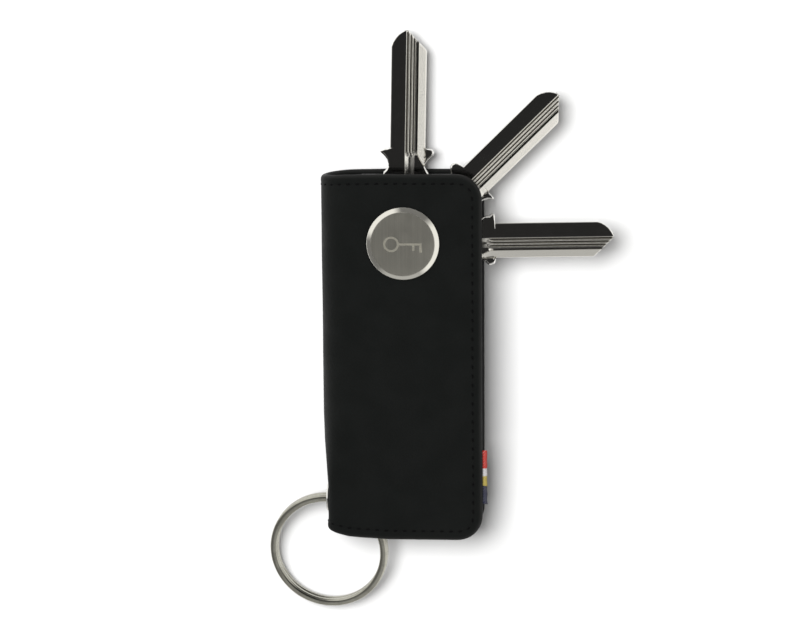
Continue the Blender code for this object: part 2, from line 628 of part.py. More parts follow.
def make_split_ring():
    """A flat wire wound nearly twice round; it climbs one pitch just before its first turn closes."""
    mean_radius = RING_OUTER_RADIUS - RING_WIRE_WIDTH / 2
    section = bpy.data.curves.new("ring_section", "CURVE")
    section.dimensions = "2D"
    outline = section.splines.new("POLY")
    outline.points.add(RING_SECTION_SIDES - 1)
    for i, point in enumerate(outline.points):
        angle = 2 * math.pi * i / RING_SECTION_SIDES
        point.co = (RING_WIRE_WIDTH / 2 * math.cos(angle), RING_WIRE_HEIGHT / 2 * math.sin(angle), 0.0, 1.0)
    outline.use_cyclic_u = True
    section_object = scratch("ring_section", section)

    wire = bpy.data.curves.new("split_ring", "CURVE")
    wire.dimensions = "3D"
    wire.twist_mode = "Z_UP"
    wire.bevel_mode = "OBJECT"
    wire.bevel_object = section_object
    wire.use_fill_caps = True
    spline = wire.splines.new("POLY")
    count = int(RING_SEGMENTS * RING_TURNS) + 1
    spline.points.add(count - 1)
    for i, point in enumerate(spline.points):
        turns = i * RING_TURNS / (count - 1)
        climb = float(np.interp(turns, RING_STEP_SPAN, (0.0, 1.0)))
        height = (climb * climb * (3 - 2 * climb) - 0.5) * RING_COIL_PITCH
        angle = RING_STEP_ANGLE + 2 * math.pi * turns
        point.co = (mean_radius * (1 + math.cos(angle)), mean_radius * math.sin(angle), height, 1.0)
    mesh = evaluated(scratch("split_ring", wire))
    bpy.data.objects.remove(section_object, do_unlink=True)
    body = bmesh.new()
    body.from_mesh(mesh)
    bmesh.ops.remove_doubles(body, verts=body.verts, dist=0.001 * MM)
    bmesh.ops.recalc_face_normals(body, faces=body.faces)
    body.to_mesh(mesh)
    body.free()
    pivot, turn = ring_frame()
    add_part("split_ring", smooth(mesh, 50.0), RING_NICKEL, pivot, turn)


def make_tab():
    """A flat woven tab held in the slit of the front cover's seam."""
    tab_z = CASE_THICKNESS - LEATHER - LAYER_GAP - BOARD / 2
    low = TAB_Y - TAB_LENGTH / 2
    high = TAB_Y + TAB_LENGTH / 2
    tab = block("woven_tab", (TAB_ROOT, TAB_REACH), (low, high),
                (tab_z - TAB_THICKNESS / 2, tab_z + TAB_THICKNESS / 2))
    add_part("woven_tab", bend_to_taper(tab), TAB_RIBBON)


add_part("outer_cover", smooth(make_cover()), LEATHER_BLACK)
make_panels()
make_post()
make_stack()
make_eyelet()
make_split_ring()
make_tab()

bpy.context.view_layer.update()
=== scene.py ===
# %% [markdown]
# # A key organiser in black leather
# Three keys fan out from a post that is clamped between the two covers of a folded leather case.
# A steel button closes the post, and a split ring hangs in an eyelet in the spine.
# The CAD frame gives the bodies, the joints and every size.  This script adds the looks: each piece is
# made again as a fine surface, in metres, in the frame's own axes (+Y towards the keys, +Z up).

# %% Load the frame
import json
import math

import bmesh
import bpy
import numpy as np
from mathutils import Matrix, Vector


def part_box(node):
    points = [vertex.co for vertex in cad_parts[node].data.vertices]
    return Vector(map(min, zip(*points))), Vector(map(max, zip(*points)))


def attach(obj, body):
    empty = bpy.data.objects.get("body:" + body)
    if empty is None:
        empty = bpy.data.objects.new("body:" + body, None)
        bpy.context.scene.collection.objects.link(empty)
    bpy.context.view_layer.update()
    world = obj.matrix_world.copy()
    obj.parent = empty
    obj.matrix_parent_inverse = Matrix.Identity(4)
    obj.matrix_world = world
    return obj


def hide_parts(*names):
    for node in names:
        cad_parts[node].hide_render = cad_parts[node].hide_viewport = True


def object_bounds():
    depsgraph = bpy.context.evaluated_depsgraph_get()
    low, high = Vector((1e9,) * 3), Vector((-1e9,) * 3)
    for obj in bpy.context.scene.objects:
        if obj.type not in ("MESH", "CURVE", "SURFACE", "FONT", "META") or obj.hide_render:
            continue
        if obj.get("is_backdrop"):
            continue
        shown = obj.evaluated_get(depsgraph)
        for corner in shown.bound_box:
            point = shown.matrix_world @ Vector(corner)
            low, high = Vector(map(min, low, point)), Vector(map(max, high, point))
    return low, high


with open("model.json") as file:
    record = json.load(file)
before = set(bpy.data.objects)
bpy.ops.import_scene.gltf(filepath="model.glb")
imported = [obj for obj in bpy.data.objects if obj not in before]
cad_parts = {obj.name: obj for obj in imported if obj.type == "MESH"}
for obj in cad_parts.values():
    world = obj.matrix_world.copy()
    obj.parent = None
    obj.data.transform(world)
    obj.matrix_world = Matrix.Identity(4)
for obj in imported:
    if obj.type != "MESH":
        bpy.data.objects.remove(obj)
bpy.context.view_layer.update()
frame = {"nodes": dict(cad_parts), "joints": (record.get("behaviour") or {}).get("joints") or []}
MM = 0.001
JOINTS = {joint["name"]: joint for joint in frame["joints"]}


def edges_of(node):
    """Lowest and highest corner of a CAD node as two arrays."""
    low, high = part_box(node)
    return np.array(low), np.array(high)


# %% [markdown]
# ## How every new piece becomes a mesh
# A piece is a grid of points worked out as whole numpy arrays.  The faces of a grid follow from its row
# and column numbers alone, so one small function makes them for every piece.  Where a surface closes on
# itself, rows meet at the same points, and merging those points makes the skin airtight.

# %% Grid to mesh
MERGE_DISTANCE = 0.0005 * MM


def grid_faces(rows, columns, close_rows=False, close_columns=False):
    """Four corner numbers for each cell of a grid; a closed direction joins its last line to its first."""
    i, j = np.meshgrid(np.arange(rows if close_rows else rows - 1),
                       np.arange(columns if close_columns else columns - 1), indexing="ij")
    below, right = (i + 1) % rows, (j + 1) % columns
    corners = [i * columns + j, below * columns + j, below * columns + right, i * columns + right]
    return np.stack(corners, axis=-1).reshape(-1, 4)


def grid_uv(rows, columns, close_rows=False, close_columns=False):
    """For each face corner, its row and its column as shares of the whole grid."""
    tall = rows if close_rows else rows - 1
    wide = columns if close_columns else columns - 1
    i, j = np.meshgrid(np.arange(tall), np.arange(wide), indexing="ij")
    u = np.stack([i, i + 1, i + 1, i], axis=-1) / tall
    v = np.stack([j, j, j + 1, j + 1], axis=-1) / wide
    return np.stack([u, v], axis=-1).reshape(-1, 2)


def to_mesh(name, points, faces, values=None, uv=None):
    """A closed mesh from points and faces: equal points are merged and every face points outwards."""
    mesh = bpy.data.meshes.new(name)
    mesh.from_pydata(points.reshape(-1, 3), [], faces)
    for key, value in (values or {}).items():
        layer = mesh.attributes.new(key, "FLOAT", "POINT")
        layer.data.foreach_set("value", np.asarray(value, np.float32).ravel())
    if uv is not None:
        mesh.uv_layers.new(name="UVMap").data.foreach_set("uv", uv.astype(np.float32).ravel())
    body = bmesh.new()
    body.from_mesh(mesh)
    bmesh.ops.remove_doubles(body, verts=body.verts, dist=MERGE_DISTANCE)
    bmesh.ops.recalc_face_normals(body, faces=body.faces)
    body.to_mesh(mesh)
    body.free()
    return mesh


def grid_mesh(name, points, close_rows, close_columns, values=None):
    """The mesh of one grid of points, with its faces and its uv."""
    closed = points.shape[0], points.shape[1], close_rows, close_columns
    return to_mesh(name, points, grid_faces(*closed), values, grid_uv(*closed))


def smooth(mesh, sharp):
    """Smooth shading, with creases above the angle kept."""
    mesh.shade_smooth()
    mesh.set_sharp_from_angle(angle=math.radians(sharp))
    return mesh


def cut(mesh, tools):
    """The mesh with other closed meshes cut out of it."""
    body = bpy.data.objects.new("blank", mesh)
    bpy.context.scene.collection.objects.link(body)
    cutters = []
    for tool in tools:
        cutter = bpy.data.objects.new("tool", tool)
        bpy.context.scene.collection.objects.link(cutter)
        modifier = body.modifiers.new("cut", "BOOLEAN")
        modifier.operation = "DIFFERENCE"
        modifier.object = cutter
        cutters.append(cutter)
    bpy.context.view_layer.update()
    graph = bpy.context.evaluated_depsgraph_get()
    result = bpy.data.meshes.new_from_object(body.evaluated_get(graph))
    result.name = mesh.name
    for used in [body] + cutters:
        bpy.data.objects.remove(used, do_unlink=True)
    return result


def add_piece(name, mesh, material, body, slot, *nodes):
    """Put a finished mesh in the scene on its CAD body, in place of the CAD nodes that it stands for."""
    piece = bpy.data.objects.new(name, mesh)
    bpy.context.scene.collection.objects.link(piece)
    mesh.materials.clear()
    mesh.materials.append(material)
    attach(piece, body)
    if nodes:
        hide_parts(*nodes)
    print(f"{name}: {len(mesh.polygons)} faces on {body}")


# %% [markdown]
# ## Curves that the shapes share
# Soft steps, rounded corners and turned profiles come back in almost every piece.  A corner is rounded
# with a quadratic curve, which leaves one side and joins the other without a kink.

# %% Shared curves
def soft_step(x):
    """0 below 0, 1 above 1 and a smooth S between: 3x^2 - 2x^3."""
    t = np.clip(x, 0.0, 1.0)
    return t * t * (3 - 2 * t)


def bump(x, width):
    """A bell of height 1: e to the power of -(x/width)^2."""
    return np.exp(-(np.asarray(x) / width) ** 2)


def rounded_path(corners, radii, closed=False, steps=5):
    """A path whose corners become quadratic curves (1-t)^2 a + 2t(1-t) corner + t^2 b."""
    points = np.array(corners, float)
    radii = np.broadcast_to(np.array(radii, float), len(points))
    t = np.linspace(0, 1, steps + 1)[:, None]
    path = []
    for k, corner in enumerate(points):
        if not closed and k in (0, len(points) - 1) or radii[k] == 0:
            path.append(corner[None])
            continue
        back, on = points[k - 1] - corner, points[(k + 1) % len(points)] - corner
        a = corner + back / np.linalg.norm(back) * min(radii[k], np.linalg.norm(back) / 2)
        b = corner + on / np.linalg.norm(on) * min(radii[k], np.linalg.norm(on) / 2)
        path.append((1 - t) ** 2 * a + 2 * t * (1 - t) * corner + t ** 2 * b)
    return np.concatenate(path)


def turn_angles(count):
    """That many even angles round a full turn."""
    return np.linspace(0, 2 * math.pi, count, endpoint=False)


def signed_power(x, power):
    """A power that keeps the sign, which makes a superellipse from a sine and a cosine."""
    return np.sign(x) * np.abs(x) ** power


def rounded_edge(d, radius):
    """How far a rounded rim has fallen at a distance d from its border: r (1 - sqrt(1 - (1 - d/r)^2))."""
    return radius * (1 - np.sqrt(1 - (1 - np.clip(d / radius, 0, 1)) ** 2))


UPRIGHT = ((1, 0, 0), (0, 1, 0), (0, 0, 1))
THROUGH_SPINE = ((0, 0, 1), (0, 1, 0), (-1, 0, 0))


def turned_mesh(name, profile, centre, closed, axes=UPRIGHT, segments=96, values=None):
    """A profile of (radius, height) carried round an axis: centre + r cos(a) U + r sin(a) V + h W."""
    across, side, up = np.array(axes, float)
    angle = turn_angles(segments)[:, None, None]
    radius, height = profile[None, :, 0, None], profile[None, :, 1, None]
    points = np.array(centre) + radius * (np.cos(angle) * across + np.sin(angle) * side) + height * up
    spread = {key: np.broadcast_to(value, points.shape[:2]) for key, value in (values or {}).items()}
    return grid_mesh(name, points, True, closed, spread)


def flat_ring(name, centre, hole, outer, heights, rounding, axes=UPRIGHT):
    """A turned ring with a rectangular section whose four edges are rounded."""
    low, high = heights
    corners = [(hole, low), (outer, low), (outer, high), (hole, high)]
    return turned_mesh(name, rounded_path(corners, rounding, closed=True, steps=4), centre, True, axes, 64)


# %% [markdown]
# ## Materials: shared effects first
# An effect that several finishes use is a node group, built once.  Each group puts out a mask or a
# height, and the finish decides what to do with it.
# `pebble_grain` is leather: soft cells for the pebbles, with fine noise for the pores.
# `fine_brush` is metal that was rubbed in one direction: noise stretched a hundredfold.
# `handling` is what fingers leave: broad, faint clouds that change the gloss.

# %% Node helpers
class Nodes:
    """Short names for adding and linking nodes in one tree."""

    def __init__(self, tree):
        self.tree = tree

    def add(self, kind, inputs=None, **settings):
        node = self.tree.nodes.new(kind)
        for key, value in settings.items():
            setattr(node, key, value)
        for key, value in (inputs or {}).items():
            self.feed(node.inputs[key], value)
        return node

    def feed(self, socket, value):
        if isinstance(value, bpy.types.NodeSocket):
            self.tree.links.new(value, socket)
        else:
            socket.default_value = value

    def maths(self, operation, a, b=0.0, c=0.0):
        return self.add("ShaderNodeMath", {0: a, 1: b, 2: c}, operation=operation).outputs[0]

    def times(self, a, b):
        return self.maths("MULTIPLY", a, b)

    def parts(self, vector):
        return self.add("ShaderNodeSeparateXYZ", {0: vector}).outputs

    def noise(self, vector, scale, detail, roughness=0.5):
        inputs = {"Vector": vector, "Scale": scale, "Detail": detail, "Roughness": roughness}
        return self.add("ShaderNodeTexNoise", inputs).outputs

    def uv(self):
        return self.add("ShaderNodeUVMap", uv_map="UVMap").outputs[0]

    def mix(self, share, a, b):
        return self.add("ShaderNodeMix", {0: share, 2: a, 3: b}, data_type="FLOAT").outputs[0]

    def blend(self, share, a, b):
        node = self.add("ShaderNodeMix", data_type="RGBA")
        self.feed(node.inputs[0], share)
        self.feed(node.inputs[6], a)
        self.feed(node.inputs[7], b)
        return node.outputs[2]

    def ramp(self, value, low, high, to_low=0.0, to_high=1.0):
        node = self.add("ShaderNodeMapRange", {0: value, 1: low, 2: high, 3: to_low, 4: to_high})
        node.interpolation_type = "SMOOTHSTEP"
        return node.outputs[0]


def new_group(name, inputs, outputs):
    """An empty node group with float inputs (a vector where the default is None) and float outputs."""
    tree = bpy.data.node_groups.new(name, "ShaderNodeTree")
    for key, default in inputs.items():
        kind = "NodeSocketVector" if default is None else "NodeSocketFloat"
        socket = tree.interface.new_socket(name=key, in_out="INPUT", socket_type=kind)
        if default is not None:
            socket.default_value = default
    for key in outputs:
        tree.interface.new_socket(name=key, in_out="OUTPUT", socket_type="NodeSocketFloat")
    nodes = Nodes(tree)
    return tree, nodes, nodes.add("NodeGroupInput").outputs, nodes.add("NodeGroupOutput").inputs


# %% Shared effects
def make_pebble_grain():
    """Height of a leather grain: smooth cells for pebbles, noise for pores, and broad slack creases."""
    tree, nodes, given, result = new_group(
        "pebble_grain", {"Vector": None, "Size": 1.0}, ["Height", "Mottle"])
    scale = nodes.maths("DIVIDE", 1400.0, given["Size"])
    wander = nodes.noise(given["Vector"], 900.0, 2.0)
    shift = nodes.add("ShaderNodeVectorMath", {0: wander["Color"], 1: (0.0006, 0.0006, 0.0006)},
                      operation="MULTIPLY")
    place = nodes.add("ShaderNodeVectorMath", {0: given["Vector"], 1: shift.outputs[0]}, operation="ADD")
    cells = nodes.add("ShaderNodeTexVoronoi",
                      {"Vector": place.outputs[0], "Scale": scale, "Smoothness": 0.6}, feature="SMOOTH_F1")
    pores = nodes.noise(given["Vector"], 5200.0, 3.0)
    slack = nodes.noise(given["Vector"], 130.0, 3.0)
    pebbles = nodes.times(nodes.maths("SUBTRACT", 1.0, cells.outputs["Distance"]), 0.6)
    fine = nodes.maths("MULTIPLY_ADD", pores["Fac"], 0.35, pebbles)
    nodes.feed(result["Height"], nodes.maths("MULTIPLY_ADD", slack["Fac"], 0.5, fine))
    nodes.feed(result["Mottle"], nodes.ramp(slack["Fac"], 0.3, 0.7))
    return tree


def make_fine_brush():
    """Streaks along one direction: noise read on a vector that is squeezed across the rubbing."""
    tree, nodes, given, result = new_group(
        "fine_brush", {"Vector": None, "Along": 60.0, "Across": 9000.0}, ["Streak", "Height"])
    parts = nodes.parts(given["Vector"])
    squeezed = nodes.add("ShaderNodeCombineXYZ", {
        0: nodes.times(parts[0], given["Across"]),
        1: nodes.times(parts[1], given["Along"]),
        2: nodes.times(parts[2], given["Along"])}).outputs[0]
    coarse = nodes.noise(squeezed, 0.35, 2.0)
    fine = nodes.noise(squeezed, 1.0, 1.0)
    both = nodes.maths("MULTIPLY_ADD", coarse["Fac"], 0.5, nodes.times(fine["Fac"], 0.5))
    nodes.feed(result["Streak"], nodes.ramp(both, 0.35, 0.65))
    nodes.feed(result["Height"], both)
    return tree


def make_handling():
    """Broad clouds and a few small smears, as fingers leave on metal and leather."""
    tree, nodes, given, result = new_group("handling", {"Vector": None, "Scale": 160.0}, ["Mask"])
    clouds = nodes.noise(given["Vector"], given["Scale"], 4.0, 0.6)
    nodes.feed(result["Mask"], nodes.ramp(clouds["Fac"], 0.42, 0.68))
    return tree


PEBBLE_GRAIN = make_pebble_grain()
FINE_BRUSH = make_fine_brush()
HANDLING = make_handling()
print("effects:", [tree.name for tree in (PEBBLE_GRAIN, FINE_BRUSH, HANDLING)])


# %% [markdown]
# ## The finishes
# Every finish has its own Principled shader.  Numbers that are the same all over a surface sit on the
# shader's sockets; only what changes over the surface is linked.

# %% Finish helpers
def new_finish(name, **sockets):
    """A material with its Principled shader set, a nodes helper and the object's own coordinates."""
    made = bpy.data.materials.new(name)
    made.use_nodes = True
    nodes = Nodes(made.node_tree)
    shader = made.node_tree.nodes["Principled BSDF"]
    for key, value in sockets.items():
        shader.inputs[key.replace("_", " ")].default_value = value
    place = nodes.add("ShaderNodeTexCoord").outputs["Object"]
    return made, nodes, shader, place


def use_group(nodes, tree, inputs):
    """Place one of the shared effects."""
    node = nodes.add("ShaderNodeGroup")
    node.node_tree = tree
    for key, value in inputs.items():
        nodes.feed(node.inputs[key], value)
    return node.outputs


def attribute(nodes, name):
    """A value that the piece's own points carry."""
    return nodes.add("ShaderNodeAttribute", attribute_name=name).outputs["Fac"]


def dress(nodes, shader, colour, roughness, height, depth):
    """Link what changes over a surface: colour, roughness, and a relief that is so many metres deep."""
    bumps = nodes.add("ShaderNodeBump", {"Height": height, "Strength": 1.0, "Distance": depth})
    for key, value in (("Base Color", colour), ("Roughness", roughness), ("Normal", bumps.outputs[0])):
        nodes.feed(shader.inputs[key], value)


def two_tone(name, effect, settings, tones, rough, depth, **sockets):
    """A finish from one shared effect: its first output blends two colours and two roughnesses, and its
    last output is the relief."""
    made, nodes, shader, place = new_finish(name, **sockets)
    given = use_group(nodes, effect, {"Vector": place, **settings})
    colour = nodes.blend(given[0], *((*tone, 1) for tone in tones))
    dress(nodes, shader, colour, nodes.ramp(given[0], 0.0, 1.0, *rough), given[-1], depth)
    return made


# %% Leather, lining and board
def leather_finish():
    """Matte black leather: fine pebbles, a painted highlight along the edges, and painted shade in the
    seam.
    """
    made, nodes, shader, place = new_finish("black_leather", Specular_IOR_Level=0.16)
    grain = use_group(nodes, PEBBLE_GRAIN, {"Vector": place, "Size": 1.0})
    hands = use_group(nodes, HANDLING, {"Vector": place, "Scale": 90.0})
    body = nodes.blend(nodes.times(grain["Mottle"], 0.6),
                       (0.0022, 0.0026, 0.0024, 1), (0.0034, 0.0038, 0.0036, 1))
    # Painted highlight: the leather is lightened just inside its border.
    edge_sheen = nodes.blend(nodes.times(attribute(nodes, "edge"), 0.6), body, (0.010, 0.010, 0.0095, 1))
    # Painted shade: the pressed seam is darkened.
    colour = nodes.blend(nodes.times(attribute(nodes, "seam"), 0.35), edge_sheen, (0.002, 0.002, 0.002, 1))
    rough = nodes.ramp(hands["Mask"], 0.0, 1.0, 0.62, 0.54)
    dress(nodes, shader, colour, rough, grain["Height"], 0.055 * MM)
    return made


def lining_finish():
    """Thin split leather, dull, with a short nap."""
    made, nodes, shader, place = new_finish("split_lining", Specular_IOR_Level=0.2, Sheen_Weight=0.12,
                                            Sheen_Roughness=0.5)
    grain = use_group(nodes, PEBBLE_GRAIN, {"Vector": place, "Size": 0.55})
    colour = nodes.blend(grain["Mottle"], (0.010, 0.010, 0.011, 1), (0.017, 0.016, 0.016, 1))
    rough = nodes.ramp(grain["Height"], 0.3, 1.1, 0.95, 0.8)
    dress(nodes, shader, colour, rough, grain["Height"], 0.08 * MM)
    return made


def board_finish():
    """Grey stiffening board with pressed fibres."""
    return two_tone("pressed_board", FINE_BRUSH, {"Along": 700.0, "Across": 3000.0},
                    ((0.085, 0.082, 0.078), (0.13, 0.125, 0.12)), (0.9, 0.75), 0.03 * MM,
                    Specular_IOR_Level=0.3)


# %% Thread, ribbon and nylon
def thread_finish():
    """Waxed black thread: the plies show as slanting ridges along each stitch, with painted shade in the
    grooves between them.
    """
    made, nodes, shader, _ = new_finish("waxed_thread", Specular_IOR_Level=0.1)
    along = nodes.parts(nodes.uv())
    twist = nodes.maths("MULTIPLY_ADD", along[0], 5.0, nodes.times(along[1], 2.0))
    ply = nodes.maths("MULTIPLY_ADD", nodes.maths("SINE", nodes.times(twist, 2 * math.pi)), 0.5, 0.5)
    # Painted shade: the colour is darker where the ply relief is low.
    colour = nodes.blend(ply, (0.0008, 0.0008, 0.0009, 1), (0.0024, 0.0024, 0.0025, 1))
    dress(nodes, shader, colour, nodes.ramp(ply, 0.0, 1.0, 0.75, 0.5), ply, 0.05 * MM)
    return made


# Each band: how far across the ribbon it ends, and its colour
RIBBON_BANDS = ((0.335, (0.004, 0.006, 0.026)), (0.52, (0.35, 0.28, 0.075)),
                (0.665, (0.46, 0.45, 0.45)), (1.0, (0.40, 0.022, 0.012)))
WARP_THREADS, WEFT_THREADS = 34, 26


def ribbon_finish():
    """Woven bands of colour: the weave is a fine chequer of warp and weft, the bands follow the warp,
    and light threads cross the two outer bands on a slant."""
    made, nodes, shader, place = new_finish("woven_ribbon", Specular_IOR_Level=0.2, Sheen_Weight=0.08)
    parts = nodes.parts(nodes.uv())
    warp = nodes.maths("SINE", nodes.times(parts[0], 2 * math.pi * WARP_THREADS))
    weft = nodes.maths("SINE", nodes.times(parts[1], 2 * math.pi * WEFT_THREADS))
    weave = nodes.maths("MULTIPLY_ADD", nodes.times(warp, weft), 0.5, 0.5)
    fray = nodes.noise(place, 3000.0, 2.0)["Fac"]
    across = nodes.maths("MULTIPLY_ADD", nodes.maths("SUBTRACT", fray, 0.5), 0.03, parts[0])
    colour = (*RIBBON_BANDS[0][1], 1)
    for (limit, _), (_, tint) in zip(RIBBON_BANDS[:-1], RIBBON_BANDS[1:]):
        colour = nodes.blend(nodes.maths("GREATER_THAN", across, limit), colour, (*tint, 1))
    slant = nodes.maths("MULTIPLY_ADD", parts[1], 0.7, parts[0])
    cord = nodes.maths("SINE", nodes.times(slant, 125.0))
    from_middle = nodes.maths("ABSOLUTE", nodes.maths("SUBTRACT", across, 0.5))
    outer = nodes.maths("GREATER_THAN", from_middle, 0.165)
    crossing = nodes.times(nodes.ramp(cord, 0.5, 1.0), nodes.times(outer, 0.4))
    colour = nodes.blend(crossing, colour, (0.40, 0.39, 0.40, 1))
    shade = nodes.ramp(weave, 0.0, 1.0, 0.45, 1.1)
    dark = nodes.add("ShaderNodeVectorMath", {0: colour, 3: shade}, operation="SCALE").outputs[0]
    dress(nodes, shader, dark, nodes.ramp(weave, 0.0, 1.0, 0.95, 0.75), weave, 0.12 * MM)
    return made


def nylon_finish():
    """Natural nylon, slightly milky, with faint marks from handling."""
    return two_tone("natural_nylon", HANDLING, {"Scale": 500.0}, ((0.72, 0.70, 0.64), (0.62, 0.60, 0.55)),
                    (0.35, 0.5), 0.01 * MM, IOR=1.53, Subsurface_Weight=0.1,
                    Subsurface_Radius=(0.0006, 0.0005, 0.0004))


# %% Metals
def key_finish():
    """Polished nickel: the milled grooves are rougher and painted lighter as a painted sheen, the rims
    carry a painted highlight and the valleys painted shade, with fine rubbing along the blade.
    """
    made, nodes, shader, place = new_finish("polished_nickel", Metallic=1.0)
    milled = attribute(nodes, "milled")
    rubbing = use_group(nodes, FINE_BRUSH, {"Vector": nodes.uv(), "Along": 14.0, "Across": 900.0})
    hands = use_group(nodes, HANDLING, {"Vector": place, "Scale": 420.0})
    # Painted sheen: milled faces get a lighter colour than the polished flats of the same metal, besides
    # their higher roughness.
    metal = nodes.blend(milled, (0.60, 0.585, 0.56, 1), (0.86, 0.84, 0.78, 1))
    # Painted highlight: the rounded rims get a lighter colour than the faces.
    bright = nodes.blend(attribute(nodes, "edge"), metal, (0.93, 0.92, 0.88, 1))
    # Painted shade: the bottoms of the valleys and the slot are darkened to near black.
    valley_shade = nodes.times(attribute(nodes, "valley_shade"), 0.75)
    colour = nodes.blend(valley_shade, bright, (0.055, 0.05, 0.04, 1))
    polished = nodes.ramp(hands["Mask"], 0.0, 1.0, 0.09, 0.12)
    cut_face = nodes.ramp(rubbing["Streak"], 0.0, 1.0, 0.13, 0.22)
    height = nodes.times(rubbing["Height"], nodes.maths("MULTIPLY_ADD", milled, 0.8, 0.2))
    dress(nodes, shader, colour, nodes.mix(milled, polished, cut_face), height, 0.010 * MM)
    return made


def wire_finish():
    """Nickel-plated spring wire: darker than the keys, drawn along its length, with small scuffs."""
    made, nodes, shader, place = new_finish("plated_wire", Metallic=1.0)
    flipped = nodes.parts(nodes.uv())
    turned_uv = nodes.add("ShaderNodeCombineXYZ", {0: flipped[1], 1: flipped[0]}).outputs[0]
    drawn = use_group(nodes, FINE_BRUSH, {"Vector": turned_uv, "Along": 40.0, "Across": 60.0})
    hands = use_group(nodes, HANDLING, {"Vector": place, "Scale": 260.0})["Mask"]
    colour = nodes.blend(hands, (0.46, 0.45, 0.39, 1), (0.38, 0.37, 0.32, 1))
    dress(nodes, shader, colour, nodes.ramp(hands, 0.0, 1.0, 0.16, 0.24), drawn["Height"], 0.012 * MM)
    return made


def bright_finish(name, tint, *rough):
    """Turned and plated metal that handling has dulled in places."""
    darker = tuple(0.8 * part for part in tint)
    return two_tone(name, HANDLING, {"Scale": 380.0}, (tint, darker), rough, 0.004 * MM, Metallic=1.0)


LEATHER = leather_finish()
LINING = lining_finish()
BOARD = board_finish()
THREAD = thread_finish()
RIBBON = ribbon_finish()
NYLON = nylon_finish()
KEY_METAL = key_finish()
WIRE = wire_finish()
POST_METAL = bright_finish("turned_steel", (0.62, 0.60, 0.57), 0.22, 0.34)
EYELET_METAL = bright_finish("bright_nickel", (0.86, 0.85, 0.81), 0.12, 0.22)
SPRING_METAL = bright_finish("spring_steel", (0.52, 0.52, 0.53), 0.20, 0.32)
print("finishes:", len(bpy.data.materials))


# %% [markdown]
# ## The case: one piece of leather folded round the keys
# A real cover is cut flat, its edges are turned in over a board and stitched, and it is folded at the
# spine.
# It could be modelled as a box with bevels, but a fold is easier to get right as a map: every point of the
# flat sheet has a place on the folded one.  The same map then puts the stitches on the leather.

# %% The fold map
HALF_WIDTH = 19.8 * MM
HALF_LENGTH = 45.6 * MM
CORNER_RADIUS = 6.3 * MM
FLAT_END = -10.3 * MM
LEATHER_WALL = 1.0 * MM
HEM_WALL = 1.7 * MM
HEM_WIDTH = 3.2 * MM
# Along the case in mm: y, thickness, how far the spine reaches past the flats; and its roundness, where
# 2 is an ellipse
SPINE_STATIONS = np.array([
    (-46.6, 12.4, 8.85, 3.5), (-43.5, 12.4, 8.80, 4.0), (-40.4, 12.4, 8.45, 6.0), (-32.2, 12.4, 8.45, 6.0),
    (-27.0, 12.9, 8.90, 3.6), (-21.0, 13.8, 9.30, 2.6), (-14.0, 14.4, 9.50, 2.3), (46.6, 14.4, 9.50, 2.3)])
SPINE_STEPS = 64
MAP_ROWS = 120


def make_fold_map():
    """Rows along the case, columns round the spine: a half superellipse |x|^n + |z|^n = 1, evenly spaced
    by its own length."""
    y = np.linspace(-HALF_LENGTH, HALF_LENGTH, MAP_ROWS)
    thick, reach, power = (np.interp(y, SPINE_STATIONS[:, 0] * MM, SPINE_STATIONS[:, k]) for k in (1, 2, 3))
    angle = np.linspace(math.pi / 2, -math.pi / 2, 721)[None]
    power = power[:, None]
    x = FLAT_END - reach[:, None] * MM * np.abs(np.cos(angle)) ** (2 / power)
    z = thick[:, None] * MM / 2 * (1 + np.sign(np.sin(angle)) * np.abs(np.sin(angle)) ** (2 / power))
    step = np.hypot(np.diff(x), np.diff(z))
    length = np.concatenate([np.zeros((MAP_ROWS, 1)), np.cumsum(step, axis=1)], axis=1)
    share = np.linspace(0, 1, SPINE_STEPS + 1)
    spine_x = np.stack([np.interp(share * far[-1], far, row) for far, row in zip(length, x)])
    spine_z = np.stack([np.interp(share * far[-1], far, row) for far, row in zip(length, z)])
    return y, thick * MM, spine_x, spine_z, float(length[:, -1].mean())


MAP_Y, MAP_THICK, MAP_X, MAP_Z, SPINE_LENGTH = make_fold_map()


def folded(sheet, y):
    """Place of the flat sheet's point on the fold.  sheet is 0 at the front's free edge, 1 at the start
    of the spine, 2 at its end and 3 at the back's free edge."""
    thick = np.interp(y, MAP_Y, MAP_THICK)
    front_x = HALF_WIDTH - sheet * (HALF_WIDTH - FLAT_END)
    back_x = FLAT_END + (sheet - 2) * (HALF_WIDTH - FLAT_END)
    row = np.clip((y - MAP_Y[0]) / (MAP_Y[1] - MAP_Y[0]), 0, MAP_ROWS - 1.001)
    column = np.clip((sheet - 1) * SPINE_STEPS, 0, SPINE_STEPS - 0.001)
    i, j = row.astype(int), column.astype(int)
    a, b = row - i, column - j

    def between(table):
        low = table[i, j] * (1 - b) + table[i, j + 1] * b
        high = table[i + 1, j] * (1 - b) + table[i + 1, j + 1] * b
        return low * (1 - a) + high * a

    on_spine = (sheet > 1) & (sheet < 2)
    x = np.where(on_spine, between(MAP_X), np.where(sheet <= 1, front_x, back_x))
    z = np.where(on_spine, between(MAP_Z), np.where(sheet <= 1, thick, 0.0))
    return np.stack([x, y, z], axis=-1)


def fold_normal(sheet, y):
    """Outward normal of the fold, from two short steps on the map."""
    step = 0.002
    across = folded(sheet + step, y) - folded(sheet - step, y)
    along = folded(sheet, y + step * MM * 50) - folded(sheet, y - step * MM * 50)
    normal = np.cross(along, across)
    return normal / np.linalg.norm(normal, axis=-1, keepdims=True)


